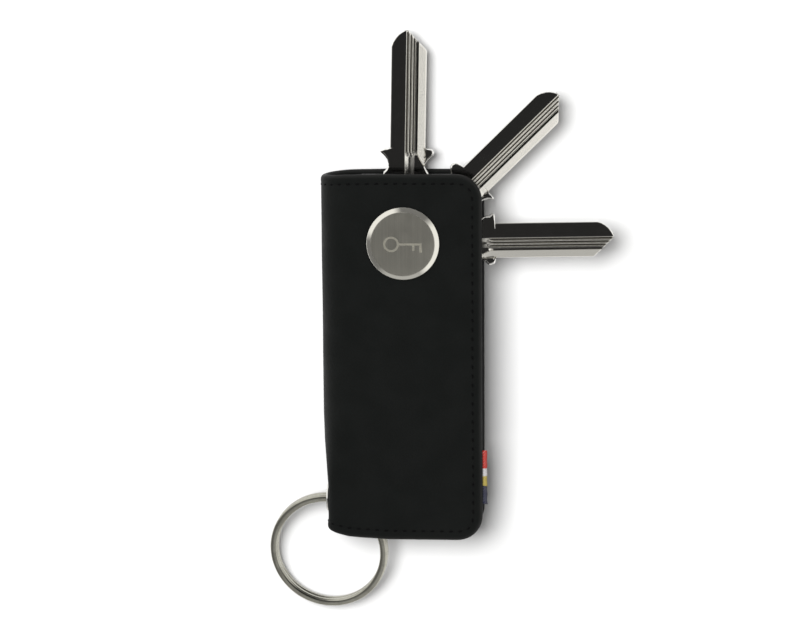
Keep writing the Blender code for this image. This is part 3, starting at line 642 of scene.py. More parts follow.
def edge_distance(sheet, y):
    """How far a point is from the sheet's border: the sheet is a rectangle with four round corners."""
    x = HALF_WIDTH - np.minimum(sheet, 3 - sheet) * (HALF_WIDTH - FLAT_END)
    out_x, out_y = x - (HALF_WIDTH - CORNER_RADIUS), np.abs(y) - (HALF_LENGTH - CORNER_RADIUS)
    corner = np.hypot(np.maximum(out_x, 0), np.maximum(out_y, 0))
    return CORNER_RADIUS - corner - np.minimum(np.maximum(out_x, out_y), 0)


print(f"the spine is {SPINE_LENGTH / MM:.1f} mm round, so the sheet was cut "
      f"{(2 * (HALF_WIDTH - FLAT_END) + SPINE_LENGTH) / MM:.1f} by {2 * HALF_LENGTH / MM:.1f} mm")

# %% The leather cover
SEAM_INSET = 2.3 * MM
# The sheet turns under the spine here, and its seam is pressed in by this many mm from there on
BACK_FROM, BACK_SINK = 1.6, 0.26
EDGE_STEPS = MM * np.array([0, 0.03, 0.1, 0.22, 0.38, 0.6, 0.85, 1.2, 1.6, 1.95, 2.12, 2.3, 2.48, 2.65,
                            3.0, 3.6, 4.6])


def end_cut(sheet, y):
    """How far the sheet's end is cut back at the spine, so that the folded corner looks round: more at
    the ring's end than at the keys' end."""
    from_middle = np.abs(sheet - 1.5)
    cut_back = MM * np.interp(from_middle, [0, 0.1, 0.22, 0.38, 0.5, 0.72], [2.3, 2.1, 1.45, 0.6, 0.36, 0])
    return cut_back * np.where(y < 0, 1.0, 0.3)


def bent_ends(sheet, y):
    """y with the end's cut taken off; the cut fades towards the middle of the case."""
    return y - np.sign(y) * end_cut(sheet, y) * soft_step(np.abs(y) / (40 * MM))


def leather_height(sheet, y, d):
    """Outer relief: a seam pressed in at its inset, a hem that stands a little proud, and soft slack.
    The back, which lies on the table, has the seam only."""
    seam = -np.where(sheet < BACK_FROM, 0.07, BACK_SINK) * bump(d - SEAM_INSET, 0.3 * MM)
    hem = 0.05 * bump(d - 1.25 * MM, 0.6 * MM)
    slack = 0.035 * np.sin(sheet * 9.1 + 1.3 * np.sin(y / MM * 0.11)) * np.sin(y / MM * 0.17 + sheet * 2.0)
    above = 1 - soft_step((sheet - 1.45) / 0.15)
    return (seam + (hem + slack * soft_step((d / MM - 2.6) / 5)) * above) * MM


def make_leather():
    """Two copies of the fold, outer and inner, one wall apart.  Within half a hem of the border both
    curve towards the middle, so they meet in a rounded edge."""
    flat = HALF_WIDTH - FLAT_END
    front = np.concatenate([EDGE_STEPS, np.linspace(5.6 * MM, flat, 26)]) / flat
    spine = 1 + np.linspace(0, 1, SPINE_STEPS + 1)[1:-1]
    sheet = np.concatenate([front, spine, 3 - front[::-1]])[None, :]
    x = HALF_WIDTH - np.minimum(sheet, 3 - sheet) * flat
    in_corner = np.clip((x - (HALF_WIDTH - CORNER_RADIUS)) / CORNER_RADIUS, 0, 1)
    reach = HALF_LENGTH - CORNER_RADIUS * (1 - np.sqrt(1 - in_corner ** 2))
    inner_share = np.linspace(-1, 1, 92)[:, None]
    steps = EDGE_STEPS[:, None]
    y = np.concatenate([-reach + steps, (reach - 5.2 * MM) * inner_share, (reach - steps)[::-1]])
    sheet = np.broadcast_to(sheet, y.shape)
    d = np.maximum(edge_distance(sheet, y), 0)
    y = bent_ends(sheet, y)
    d[:, [0, -1]] = 0
    d[[0, -1], :] = 0
    wall = LEATHER_WALL + (HEM_WALL - LEATHER_WALL) * (1 - soft_step((d - HEM_WIDTH) / (0.08 * MM)))
    curl = rounded_edge(d, HEM_WALL / 2)
    normal = fold_normal(sheet, y)
    base = folded(sheet, y)
    lift = np.where(d > 0, leather_height(sheet, y, d), 0) * np.clip(d / (0.3 * MM), 0, 1)
    outer = base + normal * (lift - curl)[..., None]
    inner = base - normal * (wall - curl)[..., None]
    points = np.concatenate([outer.reshape(-1, 3), inner.reshape(-1, 3)])
    faces = grid_faces(*y.shape)
    faces = np.concatenate([faces, faces[:, ::-1] + y.size])
    # Painted highlight along the leather's border, which the finish lightens.
    edge_sheen = bump(d - 0.25 * MM, 0.45 * MM)
    # Painted shade along the pressed seam, which the finish darkens.
    seam = bump(d - SEAM_INSET, 0.3 * MM)
    values = {"edge": np.stack([edge_sheen, edge_sheen]), "seam": np.stack([seam, 0 * seam])}
    return to_mesh("leather_cover", points, faces, values, np.tile(grid_uv(*y.shape), (2, 1)))


# %% Holes in the cover
def rod(name, centre, axes, radius, length, segments=48):
    """A plain closed cylinder for cutting, centred on a point."""
    half = length / 2
    profile = np.array([(0, -half), (radius, -half), (radius, half), (0, half)])
    return turned_mesh(name, profile, centre, False, axes, segments)


def bar(name, x, y, middle, half):
    """A flat bar for cutting: between two x, along the stations y, and half a thickness either side of
    the heights given in middle."""
    y, middle = np.array(y)[:, None], np.array(middle)[:, None]
    points = np.stack([np.array([x[0], x[1], x[1], x[0]]) + 0 * y, y + np.zeros(4),
                       middle + half * np.array([-1, -1, 1, 1])], axis=-1)
    last = 4 * (len(y) - 1)
    ends = [(0, 1, 2, 3), (last, last + 1, last + 2, last + 3)]
    return to_mesh(name, points, np.concatenate([grid_faces(len(y), 4, False, True), ends]))


def tab_height(y):
    """Middle of the woven tab, which follows the front cover's taper inside its seam."""
    return np.interp(y, MAP_Y, MAP_THICK) - TAB_DEPTH


POST_LOW, POST_HIGH = edges_of("post_barrel")
POST = (POST_LOW + POST_HIGH) / 2
POST_FOOT = (POST[0], POST[1], 0)
EYELET_LOW, EYELET_HIGH = edges_of("ring_eyelet")
EYELET = (EYELET_LOW + EYELET_HIGH) / 2
SPINE_FACE = -18.75 * MM
EYELET_CENTRE = (SPINE_FACE, EYELET[1], EYELET[2])
TAB_LOW, TAB_HIGH = edges_of("woven_tab")
TAB_DEPTH = 1.4 * MM
POST_HOLE, HEAD_HOLE, EYELET_HOLE = 2.15 * MM, 6.15 * MM, 2.7 * MM
slit_y = np.linspace(TAB_LOW[1] - 0.1 * MM, TAB_HIGH[1] + 0.1 * MM, 16)
leather = cut(make_leather(), [
    rod("post_hole", (POST[0], POST[1], 8 * MM), UPRIGHT, POST_HOLE, 20 * MM),
    rod("head_hole", POST_FOOT, UPRIGHT, HEAD_HOLE, 2.1 * MM, 72),
    rod("eyelet_hole", EYELET_CENTRE, THROUGH_SPINE, EYELET_HOLE, 5 * MM),
    bar("tab_slit", (TAB_LOW[0] - 0.4 * MM, TAB_HIGH[0] + 1 * MM), slit_y, tab_height(slit_y), 0.3 * MM),
])
add_piece("leather_cover", smooth(leather, 50), LEATHER, "case", "leather", "outer_cover")


# %% [markdown]
# ## The stitches
# Lock stitch shows as a row of short slanting dashes that sink into the leather at both ends.
# One dash is a small capsule; the whole seam is that capsule copied along a line at a fixed distance from
# the sheet's border, and the fold map bends it round the spine.

# %% Seam line and thread
STITCH_PITCH = 2.28 * MM
STITCH_LENGTH = 1.3 * MM
THREAD_RADIUS = 0.23 * MM
STITCH_SLANT = 0.06


def seam_line():
    """Points at an even pitch along the inset border, as (sheet, y) and the direction of travel."""
    flat = HALF_WIDTH - FLAT_END
    total = 2 * flat + SPINE_LENGTH
    a, b = total / 2 - SEAM_INSET, HALF_LENGTH - SEAM_INSET
    corners = [(-a, -b), (a, -b), (a, b), (-a, b)]
    path = rounded_path(corners, CORNER_RADIUS - SEAM_INSET, closed=True, steps=10)
    path = np.concatenate([path, path[:1]])
    far = np.concatenate([[0], np.cumsum(np.hypot(*np.diff(path, axis=0).T))])
    count = int(far[-1] / STITCH_PITCH)
    at = (np.arange(count) + 0.5) * far[-1] / count
    return at, far, path, total, flat


def on_sheet(at, far, path, total, flat):
    """Sheet coordinate and y at a distance along the seam line."""
    u = np.interp(at % far[-1], far, path[:, 0]) + total / 2
    y = np.interp(at % far[-1], far, path[:, 1])
    sheet = np.interp(u, [0, flat, flat + SPINE_LENGTH, total], [0, 1, 2, 3])
    return sheet, bent_ends(sheet, y)


def make_stitches():
    """Each stitch is a tube of radius r sqrt(1 - s^4) about a line that dips at both ends by s^2."""
    at, *line = seam_line()
    s = np.linspace(-1, 1, 7)
    place = at[:, None] + s[None] * STITCH_LENGTH / 2
    sheet, y = on_sheet(place, *line)
    middle = folded(sheet, y)
    normal = fold_normal(sheet, y)
    ahead = folded(*on_sheet(place + 0.05 * MM, *line)) - folded(*on_sheet(place - 0.05 * MM, *line))
    ahead /= np.linalg.norm(ahead, axis=-1, keepdims=True)
    side = np.cross(normal, ahead)
    middle = middle + side * (STITCH_SLANT * s * MM)[None, :, None]
    sunk = np.where(sheet > BACK_FROM, BACK_SINK, 0.05) + 0.24 * s ** 2
    middle = middle - normal * sunk[..., None] * MM
    around = turn_angles(6)
    radius = THREAD_RADIUS * np.sqrt(np.maximum(1 - s ** 4, 0.0))[None, :, None, None]
    ring = np.cos(around)[:, None] * side[:, :, None] + np.sin(around)[:, None] * normal[:, :, None]
    points = middle[:, :, None] + radius * ring
    count = len(at)
    faces = grid_faces(len(s), len(around), False, True)
    faces = (faces[None] + (np.arange(count) * len(s) * len(around))[:, None, None]).reshape(-1, 4)
    uv = np.tile(grid_uv(len(s), len(around), False, True), (count, 1))
    return to_mesh("seam_thread", points, faces, uv=uv), count


seam, stitch_count = make_stitches()
add_piece("seam_thread", smooth(seam, 80), THREAD, "case", "leather")
print(stitch_count, "stitches")

# %% Linings and boards
# The linings and boards are flat sheets that the CAD already gives, so they only need their finish.
for node in ("front_lining", "back_lining"):
    frame["nodes"][node].data.materials.clear()
    frame["nodes"][node].data.materials.append(LINING)
for node in ("front_stiffener", "back_stiffener"):
    frame["nodes"][node].data.materials.clear()
    frame["nodes"][node].data.materials.append(BOARD)


# %% [markdown]
# ## The button
# The button is turned from bar and its rim is polished to a bevel that catches the light.  Its face is
# brushed in one direction, and a small key is etched in the middle to say what the thing is for.
# The shape is a profile spun round; the brushing and the etching are too fine to model, so they are finish.

# %% Button finish
def plate_mask(nodes, x, y, low, high):
    """1 inside a rectangle: the larger of |x - cx| - hx and |y - cy| - hy is below zero."""
    sides = []
    for value, a, b in ((x, low[0], high[0]), (y, low[1], high[1])):
        away = nodes.maths("ABSOLUTE", nodes.maths("SUBTRACT", value, (a + b) / 2 * MM))
        sides.append(nodes.maths("SUBTRACT", away, (b - a) / 2 * MM))
    return nodes.ramp(nodes.maths("MAXIMUM", *sides), -0.02 * MM, 0.02 * MM, 1.0, 0.0)


def key_mark(nodes, place):
    """A ring, a shaft and two teeth: the picture of a key, drawn in lines of one width."""
    to_middle = {"Vector": place, "Location": (-POST[0], -POST[1], 0.0)}
    x, y, _ = nodes.parts(nodes.add("ShaderNodeMapping", to_middle).outputs[0])
    across = nodes.maths("SUBTRACT", x, -2.75 * MM)
    radius = nodes.maths("SQRT", nodes.maths("MULTIPLY_ADD", across, across, nodes.times(y, y)))
    off = nodes.maths("ABSOLUTE", nodes.maths("SUBTRACT", radius, 1.65 * MM))
    mark = nodes.ramp(off, 0.23 * MM, 0.27 * MM, 1.0, 0.0)
    shaft = ((-0.95, -0.25), (4.65, 0.25))
    teeth = ((2.4, -1.5), (2.9, 0)), ((4.15, -2), (4.65, 0))
    for low, high in (shaft, *teeth):
        mark = nodes.maths("MAXIMUM", mark, plate_mask(nodes, x, y, low, high))
    return mark


def button_finish():
    """Brushed face, polished rim painted lighter than the face as a painted highlight, and the etched mark,
    which is lighter and rougher.
    """
    made, nodes, shader, place = new_finish("brushed_button", Metallic=1.0)
    rim = attribute(nodes, "rim")
    on_face = nodes.maths("SUBTRACT", 1.0, rim)
    mark = nodes.times(key_mark(nodes, place), on_face)
    brushed = use_group(nodes, FINE_BRUSH, {"Vector": place, "Along": 150.0, "Across": 26000.0})
    hands = use_group(nodes, HANDLING, {"Vector": place, "Scale": 300.0})
    face = nodes.blend(brushed["Streak"], (0.44, 0.43, 0.38, 1), (0.50, 0.485, 0.43, 1))
    marked = nodes.blend(mark, face, (0.66, 0.64, 0.55, 1))
    # Painted highlight: the bevel gets a much lighter colour than the face of the same steel.
    colour = nodes.blend(rim, marked, (0.82, 0.80, 0.73, 1))
    rough = nodes.maths("MULTIPLY_ADD", brushed["Streak"], 0.06, 0.40)
    rough = nodes.maths("MULTIPLY_ADD", hands["Mask"], 0.05, rough)
    rough = nodes.mix(rim, nodes.maths("MULTIPLY_ADD", mark, 0.15, rough), 0.10)
    height = nodes.times(nodes.maths("SUBTRACT", brushed["Height"], mark), on_face)
    dress(nodes, shader, colour, rough, height, 0.012 * MM)
    return made


BUTTON_METAL = button_finish()

# %% Button and screw
BUTTON_LOW, BUTTON_HIGH = edges_of("button_cap")
SCREW_LOW, SCREW_HIGH = edges_of("button_screw")
# In mm: how far the face falls from its middle to the bevel, and how wide the bevel is
CROWN, BEVEL = 0.24, 1.15


def make_button():
    """Profile of the button from its middle outwards: a crowned face that falls by c (r/R)^2, then bevel,
    edge, underside and the socket for the stud."""
    radius = (BUTTON_HIGH[0] - BUTTON_LOW[0]) / 2 / MM
    top, low = BUTTON_HIGH[2] / MM, BUTTON_LOW[2] / MM
    face = [(r, top - CROWN * (r / radius) ** 2) for r in np.linspace(0, radius - BEVEL, 9)]
    corners = face + [(radius - 0.12, top - 0.92), (radius, low + 0.3), (radius - 0.1, low),
                      (1.55, low), (1.55, low + 0.9), (0, low + 0.9)]
    path = rounded_path(corners, [0] * 8 + [0.2, 0.35, 0.1, 0.1, 0.05, 0.05, 0]) * MM
    # Mask of the bevel, which the finish makes smoother and paints lighter as a painted highlight.
    rim = soft_step((path[:, 0] / MM - (radius - BEVEL - 0.01)) / 0.06) * (path[:, 1] > (low + 0.05) * MM)
    return turned_mesh("button", path, POST_FOOT, False, segments=144, values={"rim": rim})


add_piece("button", smooth(make_button(), 60), BUTTON_METAL, "button", "button_steel", "button_cap")


def round_post(angle, r, height):
    """Points at a radius and a height round the post's axis."""
    return np.stack([POST[0] + r * np.cos(angle), POST[1] + r * np.sin(angle), height + 0 * angle], axis=-1)


def make_screw():
    """The stud's thread: a ridge that rises one pitch a turn, r = R - depth (1 - cos) / 2."""
    pitch, depth, run_out = 0.5 * MM, 0.22 * MM, 14.2 * MM
    radius = (SCREW_HIGH[0] - SCREW_LOW[0]) / 2
    height = np.linspace(SCREW_LOW[2], SCREW_HIGH[2], 160)[None, :]
    angle = turn_angles(40)[:, None]
    wave = 0.5 - 0.5 * np.cos(2 * math.pi * height / pitch - angle)
    fade = soft_step((run_out - height) / (0.6 * MM))
    r = (radius - depth * wave * fade) * np.ones_like(angle)
    r[:, 0] = r[:, -1] = 0
    r[:, 1] = r[:, -2] = radius - 0.3 * MM
    points = round_post(angle, r, height)
    points[:, 1, 2], points[:, -2, 2] = SCREW_LOW[2], SCREW_HIGH[2]
    return grid_mesh("button_stud", points, True, False)


add_piece("button_stud", smooth(make_screw(), 60), POST_METAL, "button", "post_steel", "button_screw")

# %% [markdown]
# ## Post, washers and wave spring
# The keys turn on a barrel nut whose wide head lies in the back cover.  Nylon washers keep the keys from
# rubbing, and a wave spring presses the stack so that a key stays where it is put.  All are turned parts,
# so each is a profile spun round the post, with small rounded edges that catch light.

# %% Post barrel
def make_barrel():
    """Head, shank and threaded bore in one profile; a coin slot is cut across the head."""
    head, shank, bore = (POST_HIGH[0] - POST_LOW[0]) / 2 / MM, 2.0, 1.55
    low, top = POST_LOW[2] / MM, POST_HIGH[2] / MM
    under, bottom = 1.0, 2.2
    corners = [(0, low), (head, low), (head, under), (shank, under), (shank, top), (bore, top),
               (bore, bottom), (0, bottom)]
    path = rounded_path(corners, [0, 0.3, 0.08, 0.15, 0.2, 0.15, 0.05, 0], steps=4) * MM
    blank = turned_mesh("post", path, POST_FOOT, False)
    across, along, depth = 4.5 * MM, 0.6 * MM, (low + 0.45) * MM
    slot = bar("coin_slot", (POST[0] - across, POST[0] + across), (POST[1] - along, POST[1] + along),
               [(depth - MM) / 2] * 2, (depth + MM) / 2)
    return cut(blank, [slot])


add_piece("post", smooth(make_barrel(), 35), POST_METAL, "case", "post_steel", "post_barrel")


# %% Washers and spring
for number in range(1, 5):
    low, high = edges_of(f"washer_{number}")
    washer = flat_ring(f"nylon_washer_{number}", POST_FOOT, POST_HOLE, (high[0] - low[0]) / 2,
                       (low[2], high[2]), 0.18 * MM)
    add_piece(f"nylon_washer_{number}", smooth(washer, 60), NYLON, "case", "nylon", f"washer_{number}")


def make_wave():
    """A ring of thin spring strip whose height is a cosine of the angle, three waves round."""
    low, high = edges_of("wave_washer")
    hole, outer, half = 2.4 * MM, (high[0] - low[0]) / 2, 0.11 * MM
    corners = [(hole, -half), (outer, -half), (outer, half), (hole, half)]
    section = rounded_path(corners, 0.08 * MM, closed=True, steps=3)[None]
    angle = turn_angles(120)[:, None]
    wave = ((high[2] - low[2]) / 2 - half) * np.cos(3 * angle)
    height = (low[2] + high[2]) / 2 + section[..., 1] + wave
    return grid_mesh("wave_spring", round_post(angle, section[..., 0], height), True, True)


add_piece("wave_spring", smooth(make_wave(), 50), SPRING_METAL, "case", "spring_steel", "wave_washer")


# %% [markdown]
# ## The keys
# A cylinder-lock key is stamped from strip: a bow that the post goes through, a neck with two ears that
# stop it in the lock, and a blade with grooves milled along it.  A key could be cut out with Booleans,
# but then every soft edge and run-out needs its own tool.  Here the whole key is one height field: for a
# point of its outline the formula says how deep the milling is, and the outline itself rounds the rim.

# %% Key outline
KEY_HALF = 4.3
KEY_TIP = 50.4
# Half width at distances back from the tip, on either side
TIP_LEFT = ((0.0, 0.75), (0.06, 1.15), (0.45, 1.85), (1.05, 2.65), (1.9, 3.37), (2.9, 3.98), (3.8, 4.28),
            (4.4, 4.3))
TIP_RIGHT = ((0.0, -0.6), (0.1, -0.3), (4.6, 4.1), (4.9, 4.27), (5.2, 4.3))
SHOULDER = 21.7
# The bow is an arc with this centre and radius, and it runs from the flat heel to the waist
BOW = (2.0, 11.0)
WAIST = 10.4
HEEL = -7.0
KEY_THICK = 2.2 * MM
NECK_LEFT = ((-3.7, 0.45), (-4.5, 0.4), (-5.2, 0.85), (-5.9, 1.5))
NECK_RIGHT = ((-3.3, 0.35), (-4.4, -0.08), (-5.2, 0.3), (-5.9, 0.8))
# How far the ear stands out of the blade, from the shoulder back to the neck: left and right of each key
EARS = (
    (((0.0, 0.0), (-0.12, 0.85), (-0.42, 2.05), (-0.75, 2.5), (-1.15, 2.3), (-1.75, 1.55), (-2.7, 0.75)),
     ((0.1, 0.0), (-0.05, 0.9), (-0.22, 1.6), (-0.55, 2.05), (-1.1, 2.2), (-1.7, 1.95), (-2.4, 1.15))),
    (((0.0, 0.0), (-0.1, 0.8), (-0.4, 1.6), (-0.9, 2.2), (-1.6, 2.45), (-2.4, 2.1), (-3.0, 1.2)),
     ((0.1, 0.0), (0.0, 1.1), (-0.06, 2.0), (-0.22, 2.25), (-0.6, 2.05), (-1.3, 1.3), (-2.3, 0.7))),
    (((0.0, 0.0), (-0.03, 1.5), (-0.2, 2.2), (-0.6, 2.3), (-1.4, 1.75), (-2.2, 1.65), (-3.0, 1.2)),
     ((0.1, 0.0), (0.0, 0.5), (-0.1, 1.1), (-0.35, 1.4), (-0.9, 1.6), (-1.6, 1.8), (-2.4, 1.0))))


def key_side(x, profile, tip):
    """Half width along the key in mm: tip, blade, ear and neck by their points, then the bow's circle."""
    near = np.array(profile)[::-1]
    half = np.interp(x, SHOULDER + near[:, 0], KEY_HALF + near[:, 1])
    circle = np.sqrt(np.maximum(BOW[1] ** 2 - (x - BOW[0]) ** 2, 0))
    heel = np.interp(x, [HEEL, HEEL + 0.2, HEEL + 0.8, HEEL + 2.0], [2.6, 4.4, 6.2, 8.2])
    start = SHOULDER + near[0, 0]
    at_waist = math.sqrt(BOW[1] ** 2 - (WAIST - BOW[0]) ** 2)
    join = np.interp(x, [WAIST, start], [at_waist, KEY_HALF + near[0, 1]])
    half = np.where(x < start, join, half)
    half = np.where(x < WAIST, np.where(x < HEEL + 2.0, np.minimum(heel, circle + 9), circle), half)
    return np.where(x > SHOULDER + 1, tip, half)


def key_edges(x, ears):
    """Right and left side of the key, in mm from its middle, at stations along it."""
    from_tip = KEY_TIP - x
    slant = np.interp(from_tip, *np.array(TIP_RIGHT).T)
    round_off = np.interp(from_tip, *np.array(TIP_LEFT).T)
    return -key_side(x, ears[1] + NECK_RIGHT, slant), key_side(x, ears[0] + NECK_LEFT, round_off)


# %% Key relief
GROOVE_FROM = 0.65
RIDGES = 3
RIDGE_PITCH = 0.78
SLOT_FROM = GROOVE_FROM - RIDGES * RIDGE_PITCH - 0.21
SLOT_TO = SLOT_FROM - 0.55
GROOVE_END = 20.9


def ridge_wave(y):
    """0 on a ridge's flat crest, 1 in the narrow valley beside it: (half of 1 - cos) to the power 1.6."""
    turns = np.clip((GROOVE_FROM - y) / RIDGE_PITCH, 0, RIDGES)
    return (0.5 - 0.5 * np.cos(2 * math.pi * turns)) ** 1.6


def groove_ends(x):
    """1 where the ridges are cut to full depth, falling to 0 just below the shoulder."""
    return soft_step((x - GROOVE_END + 1.6) / 2.0)


def key_depth(x, y):
    """Depth of the milling in mm.  Across: a flat, three narrow valleys, a slot and a sloping step.
    Along: the valleys end in a round-bottomed channel, and the step's edge curves away to the side."""
    merge = groove_ends(x)
    in_ridges = y > SLOT_FROM
    ridges = 0.10 * soft_step((GROOVE_FROM - y) / 0.15) + 0.36 * ridge_wave(y)
    middle = (GROOVE_FROM + SLOT_FROM + 0.2) / 2
    reach = (GROOVE_FROM - SLOT_FROM - 0.2) / 2
    channel = 0.42 * np.maximum(1 - ((y - middle) / reach) ** 2, 0) * soft_step((x - 9.0) / 1.5)
    groove = np.where(in_ridges, ridges * merge + channel * (1 - merge), 0)
    wall = soft_step((SLOT_FROM - y) / 0.05) * soft_step((y - SLOT_TO) / 0.05)
    slot = 0.75 * wall * soft_step((x - GROOVE_END + 0.9) / 1.2)
    back = np.clip((GROOVE_END - 0.1 - x) / 3.6, 0, 1)
    step_edge = SLOT_TO - 1.9 * back ** 1.6
    floor = 0.22 + 0.26 * np.clip(step_edge - y, 0, 2)
    step = floor * soft_step((step_edge + 0.03 - y) / 0.06) * soft_step((x - 17.2) / 0.2)
    step = step * np.where(x < SHOULDER + 0.1, soft_step((y + KEY_HALF + 0.02) / 0.12), 1)
    return np.maximum(np.maximum(groove, slot), step)


def key_valley_shade(x, y):
    """Painted shade: 1 in the bottom of a valley or the slot, where the finish darkens the key."""
    slot = soft_step((SLOT_FROM + 0.02 - y) / 0.08) * soft_step((y - SLOT_TO - 0.02) / 0.08)
    valley = ridge_wave(y) ** 1.5 * (y > SLOT_FROM + 0.15)
    return np.maximum(valley * groove_ends(x), slot * soft_step((x - GROOVE_END + 0.5) / 0.6))


# %% Key surface
RIM_ROUND = 0.25
THINNEST = 0.15
KEY_X = np.unique(np.concatenate([
    HEEL + np.array([0, 0.05, 0.12, 0.25, 0.45, 0.8, 1.3]), np.linspace(HEEL + 2, 15.4, 44),
    np.linspace(15.6, 22.2, 84), np.linspace(22.6, 45.4, 40), np.linspace(45.8, 50.0, 36),
    KEY_TIP - np.array([0.3, 0.16, 0.07, 0.02, 0.0])]))
KEY_Y = np.unique(np.round(np.concatenate([
    np.linspace(-3.9, SLOT_TO - 0.1, 9), SLOT_TO + np.array([-0.06, -0.02, 0.0, 0.05]),
    SLOT_FROM + np.array([-0.25, -0.05, -0.02, 0.0, 0.1]), np.linspace(SLOT_FROM + 0.21, GROOVE_FROM, 49),
    np.linspace(GROOVE_FROM + 0.1, 3.9, 10)]), 4))
SIDE_SHARE = np.array([0.02, 0.1, 0.25, 0.5, 0.75, 0.9, 0.98, 1.0])
RIM_STEPS = RIM_ROUND * np.array([0.62, 0.34, 0.14, 0.03, 0.0])


def make_key_surface(shift, ears):
    """Top and bottom faces over the same outline.  Towards the outline both fall as a rounded edge; a
    wall joins them, and the last row at each end closes onto the middle."""
    right, left = key_edges(KEY_X, ears)
    slope_right, slope_left = (np.sqrt(1 + np.gradient(side, KEY_X) ** 2) for side in (right, left))
    band = RIM_ROUND * np.minimum(np.stack([slope_right, slope_left]), 3.0)
    low, high = (right + band[0])[:, None], (left - band[1])[:, None]
    core_low, core_high = np.maximum(low, KEY_Y[0]), np.minimum(high, KEY_Y[-1])
    core = np.clip(KEY_Y[None], core_low, core_high)
    on_left = core_high + (high - core_high) * SIDE_SHARE
    on_right = core_low + (low - core_low) * SIDE_SHARE
    rim_left = left[:, None] - band[1][:, None] * RIM_STEPS / RIM_ROUND
    rim_right = right[:, None] + band[0][:, None] * RIM_STEPS / RIM_ROUND
    y = np.concatenate([rim_right[:, ::-1], on_right[:, ::-1], core, on_left, rim_left], axis=1)
    x = np.broadcast_to(KEY_X[:, None], y.shape)
    d = np.minimum((y - right[:, None]) / slope_right[:, None], (left[:, None] - y) / slope_left[:, None])
    d = np.minimum(d, np.minimum(x - HEEL, KEY_TIP - x))
    on_ear = soft_step((np.abs(y) - KEY_HALF) / 0.8) * (x < SHOULDER)
    rounding = rounded_edge(d, RIM_ROUND * (1 + 0.9 * on_ear))
    half = KEY_THICK / MM / 2
    deepest = half - THINNEST

    def both_faces(top, under):
        """One row round the key: over the top face from right to left, and back along the under face."""
        return np.concatenate([top, under[:, ::-1]], axis=1)

    loop_y = both_faces(y, y)
    loop_z = both_faces(half - np.minimum(key_depth(x, y) + rounding, deepest),
                        -half + np.minimum(key_depth(x, -y) + rounding, deepest))
    loop_x = np.broadcast_to(KEY_X[:, None], loop_y.shape)
    # Milled faces: rougher, and painted lighter by the finish as a painted sheen.
    milled = both_faces(key_depth(x, y), key_depth(x, -y)) > 0.02
    # Mask of the rounded rims, which the finish paints lighter as a painted highlight.
    edge = both_faces(rounding, rounding) > 0.004
    # Mask of the painted shade in the valleys and the slot.
    valley_shade = both_faces(key_valley_shade(x, y), key_valley_shade(x, -y))
    grids = [loop_x, loop_y, loop_z, milled.astype(float), edge * (1.0 - milled), valley_shade]
    grids = [np.concatenate([g[:1], g, g[-1:]]) for g in grids]
    grids[2][0] = grids[2][-1] = 0.0
    points = (np.stack(grids[:3], axis=-1) + (*shift, 0)) * MM
    faces = grid_faces(*points.shape[:2], False, True)
    uv = np.stack([points[..., 1], points[..., 0]], axis=-1) / MM / 10
    values = {"milled": grids[3], "edge": grids[4], "valley_shade": grids[5]}
    mesh = to_mesh("key", points, faces, values, uv.reshape(-1, 2)[faces.ravel()])
    return cut(mesh, [rod("key_hole", (0, 0, 0), UPRIGHT, POST_HOLE, 4 * MM, 64)])


# %% Three keys
KEY_ANGLES = (88.8, 44.5, 1.0)
KEY_SHIFTS = ((0.5, -0.1), (1.1, -1.5), (0.5, -0.1))
KEY_BODIES = ("first_key", "second_key", "third_key")


def place_key(number, angle, shift, ears, body):
    """Turn the key's points by its angle about the post and lift them to its place in the stack."""
    low, high = edges_of(f"key_{number}")
    key = make_key_surface(shift, ears)
    place = np.empty(len(key.vertices) * 3)
    key.vertices.foreach_get("co", place)
    turn = math.radians(angle)
    spin = np.array([[math.cos(turn), -math.sin(turn), 0], [math.sin(turn), math.cos(turn), 0], [0, 0, 1]])
    moved = place.reshape(-1, 3) @ spin.T + (POST[0], POST[1], (low[2] + high[2]) / 2)
    key.vertices.foreach_set("co", moved.ravel())
    add_piece(f"blank_key_{number}", smooth(key, 32), KEY_METAL, body, "key_nickel", f"key_{number}")


for number, row in enumerate(zip(KEY_ANGLES, KEY_SHIFTS, EARS, KEY_BODIES), start=1):
    place_key(number, *row)


# %% [markdown]
# ## Eyelet, washer and split ring
# The split ring is one length of flattened wire wound almost twice, which steps over itself once.
# Screw and Array modifiers could wind it, but a sweep written out shows the step and lets the ends be
# rounded: the section is a superellipse, and its centre line is a circle that climbs by one pitch.

# %% Split ring
RING_RADIUS = (15.0 - 1.9 / 2) * MM
RING_WIRE = (1.9 * MM, 1.35 * MM)
RING_SQUARE = 2.5
RING_PITCH = 1.45 * MM
RING_TURNS = 1.88
RING_STEP = (0.90, 0.98)
RING_START = math.radians(165.0)
RING_PIVOT = np.array(JOINTS["ring_swing"]["pos_m"])
RING_NORMAL = np.array(JOINTS["ring_swing"]["axis"])
RING_TOWARDS = math.radians(-94.5)


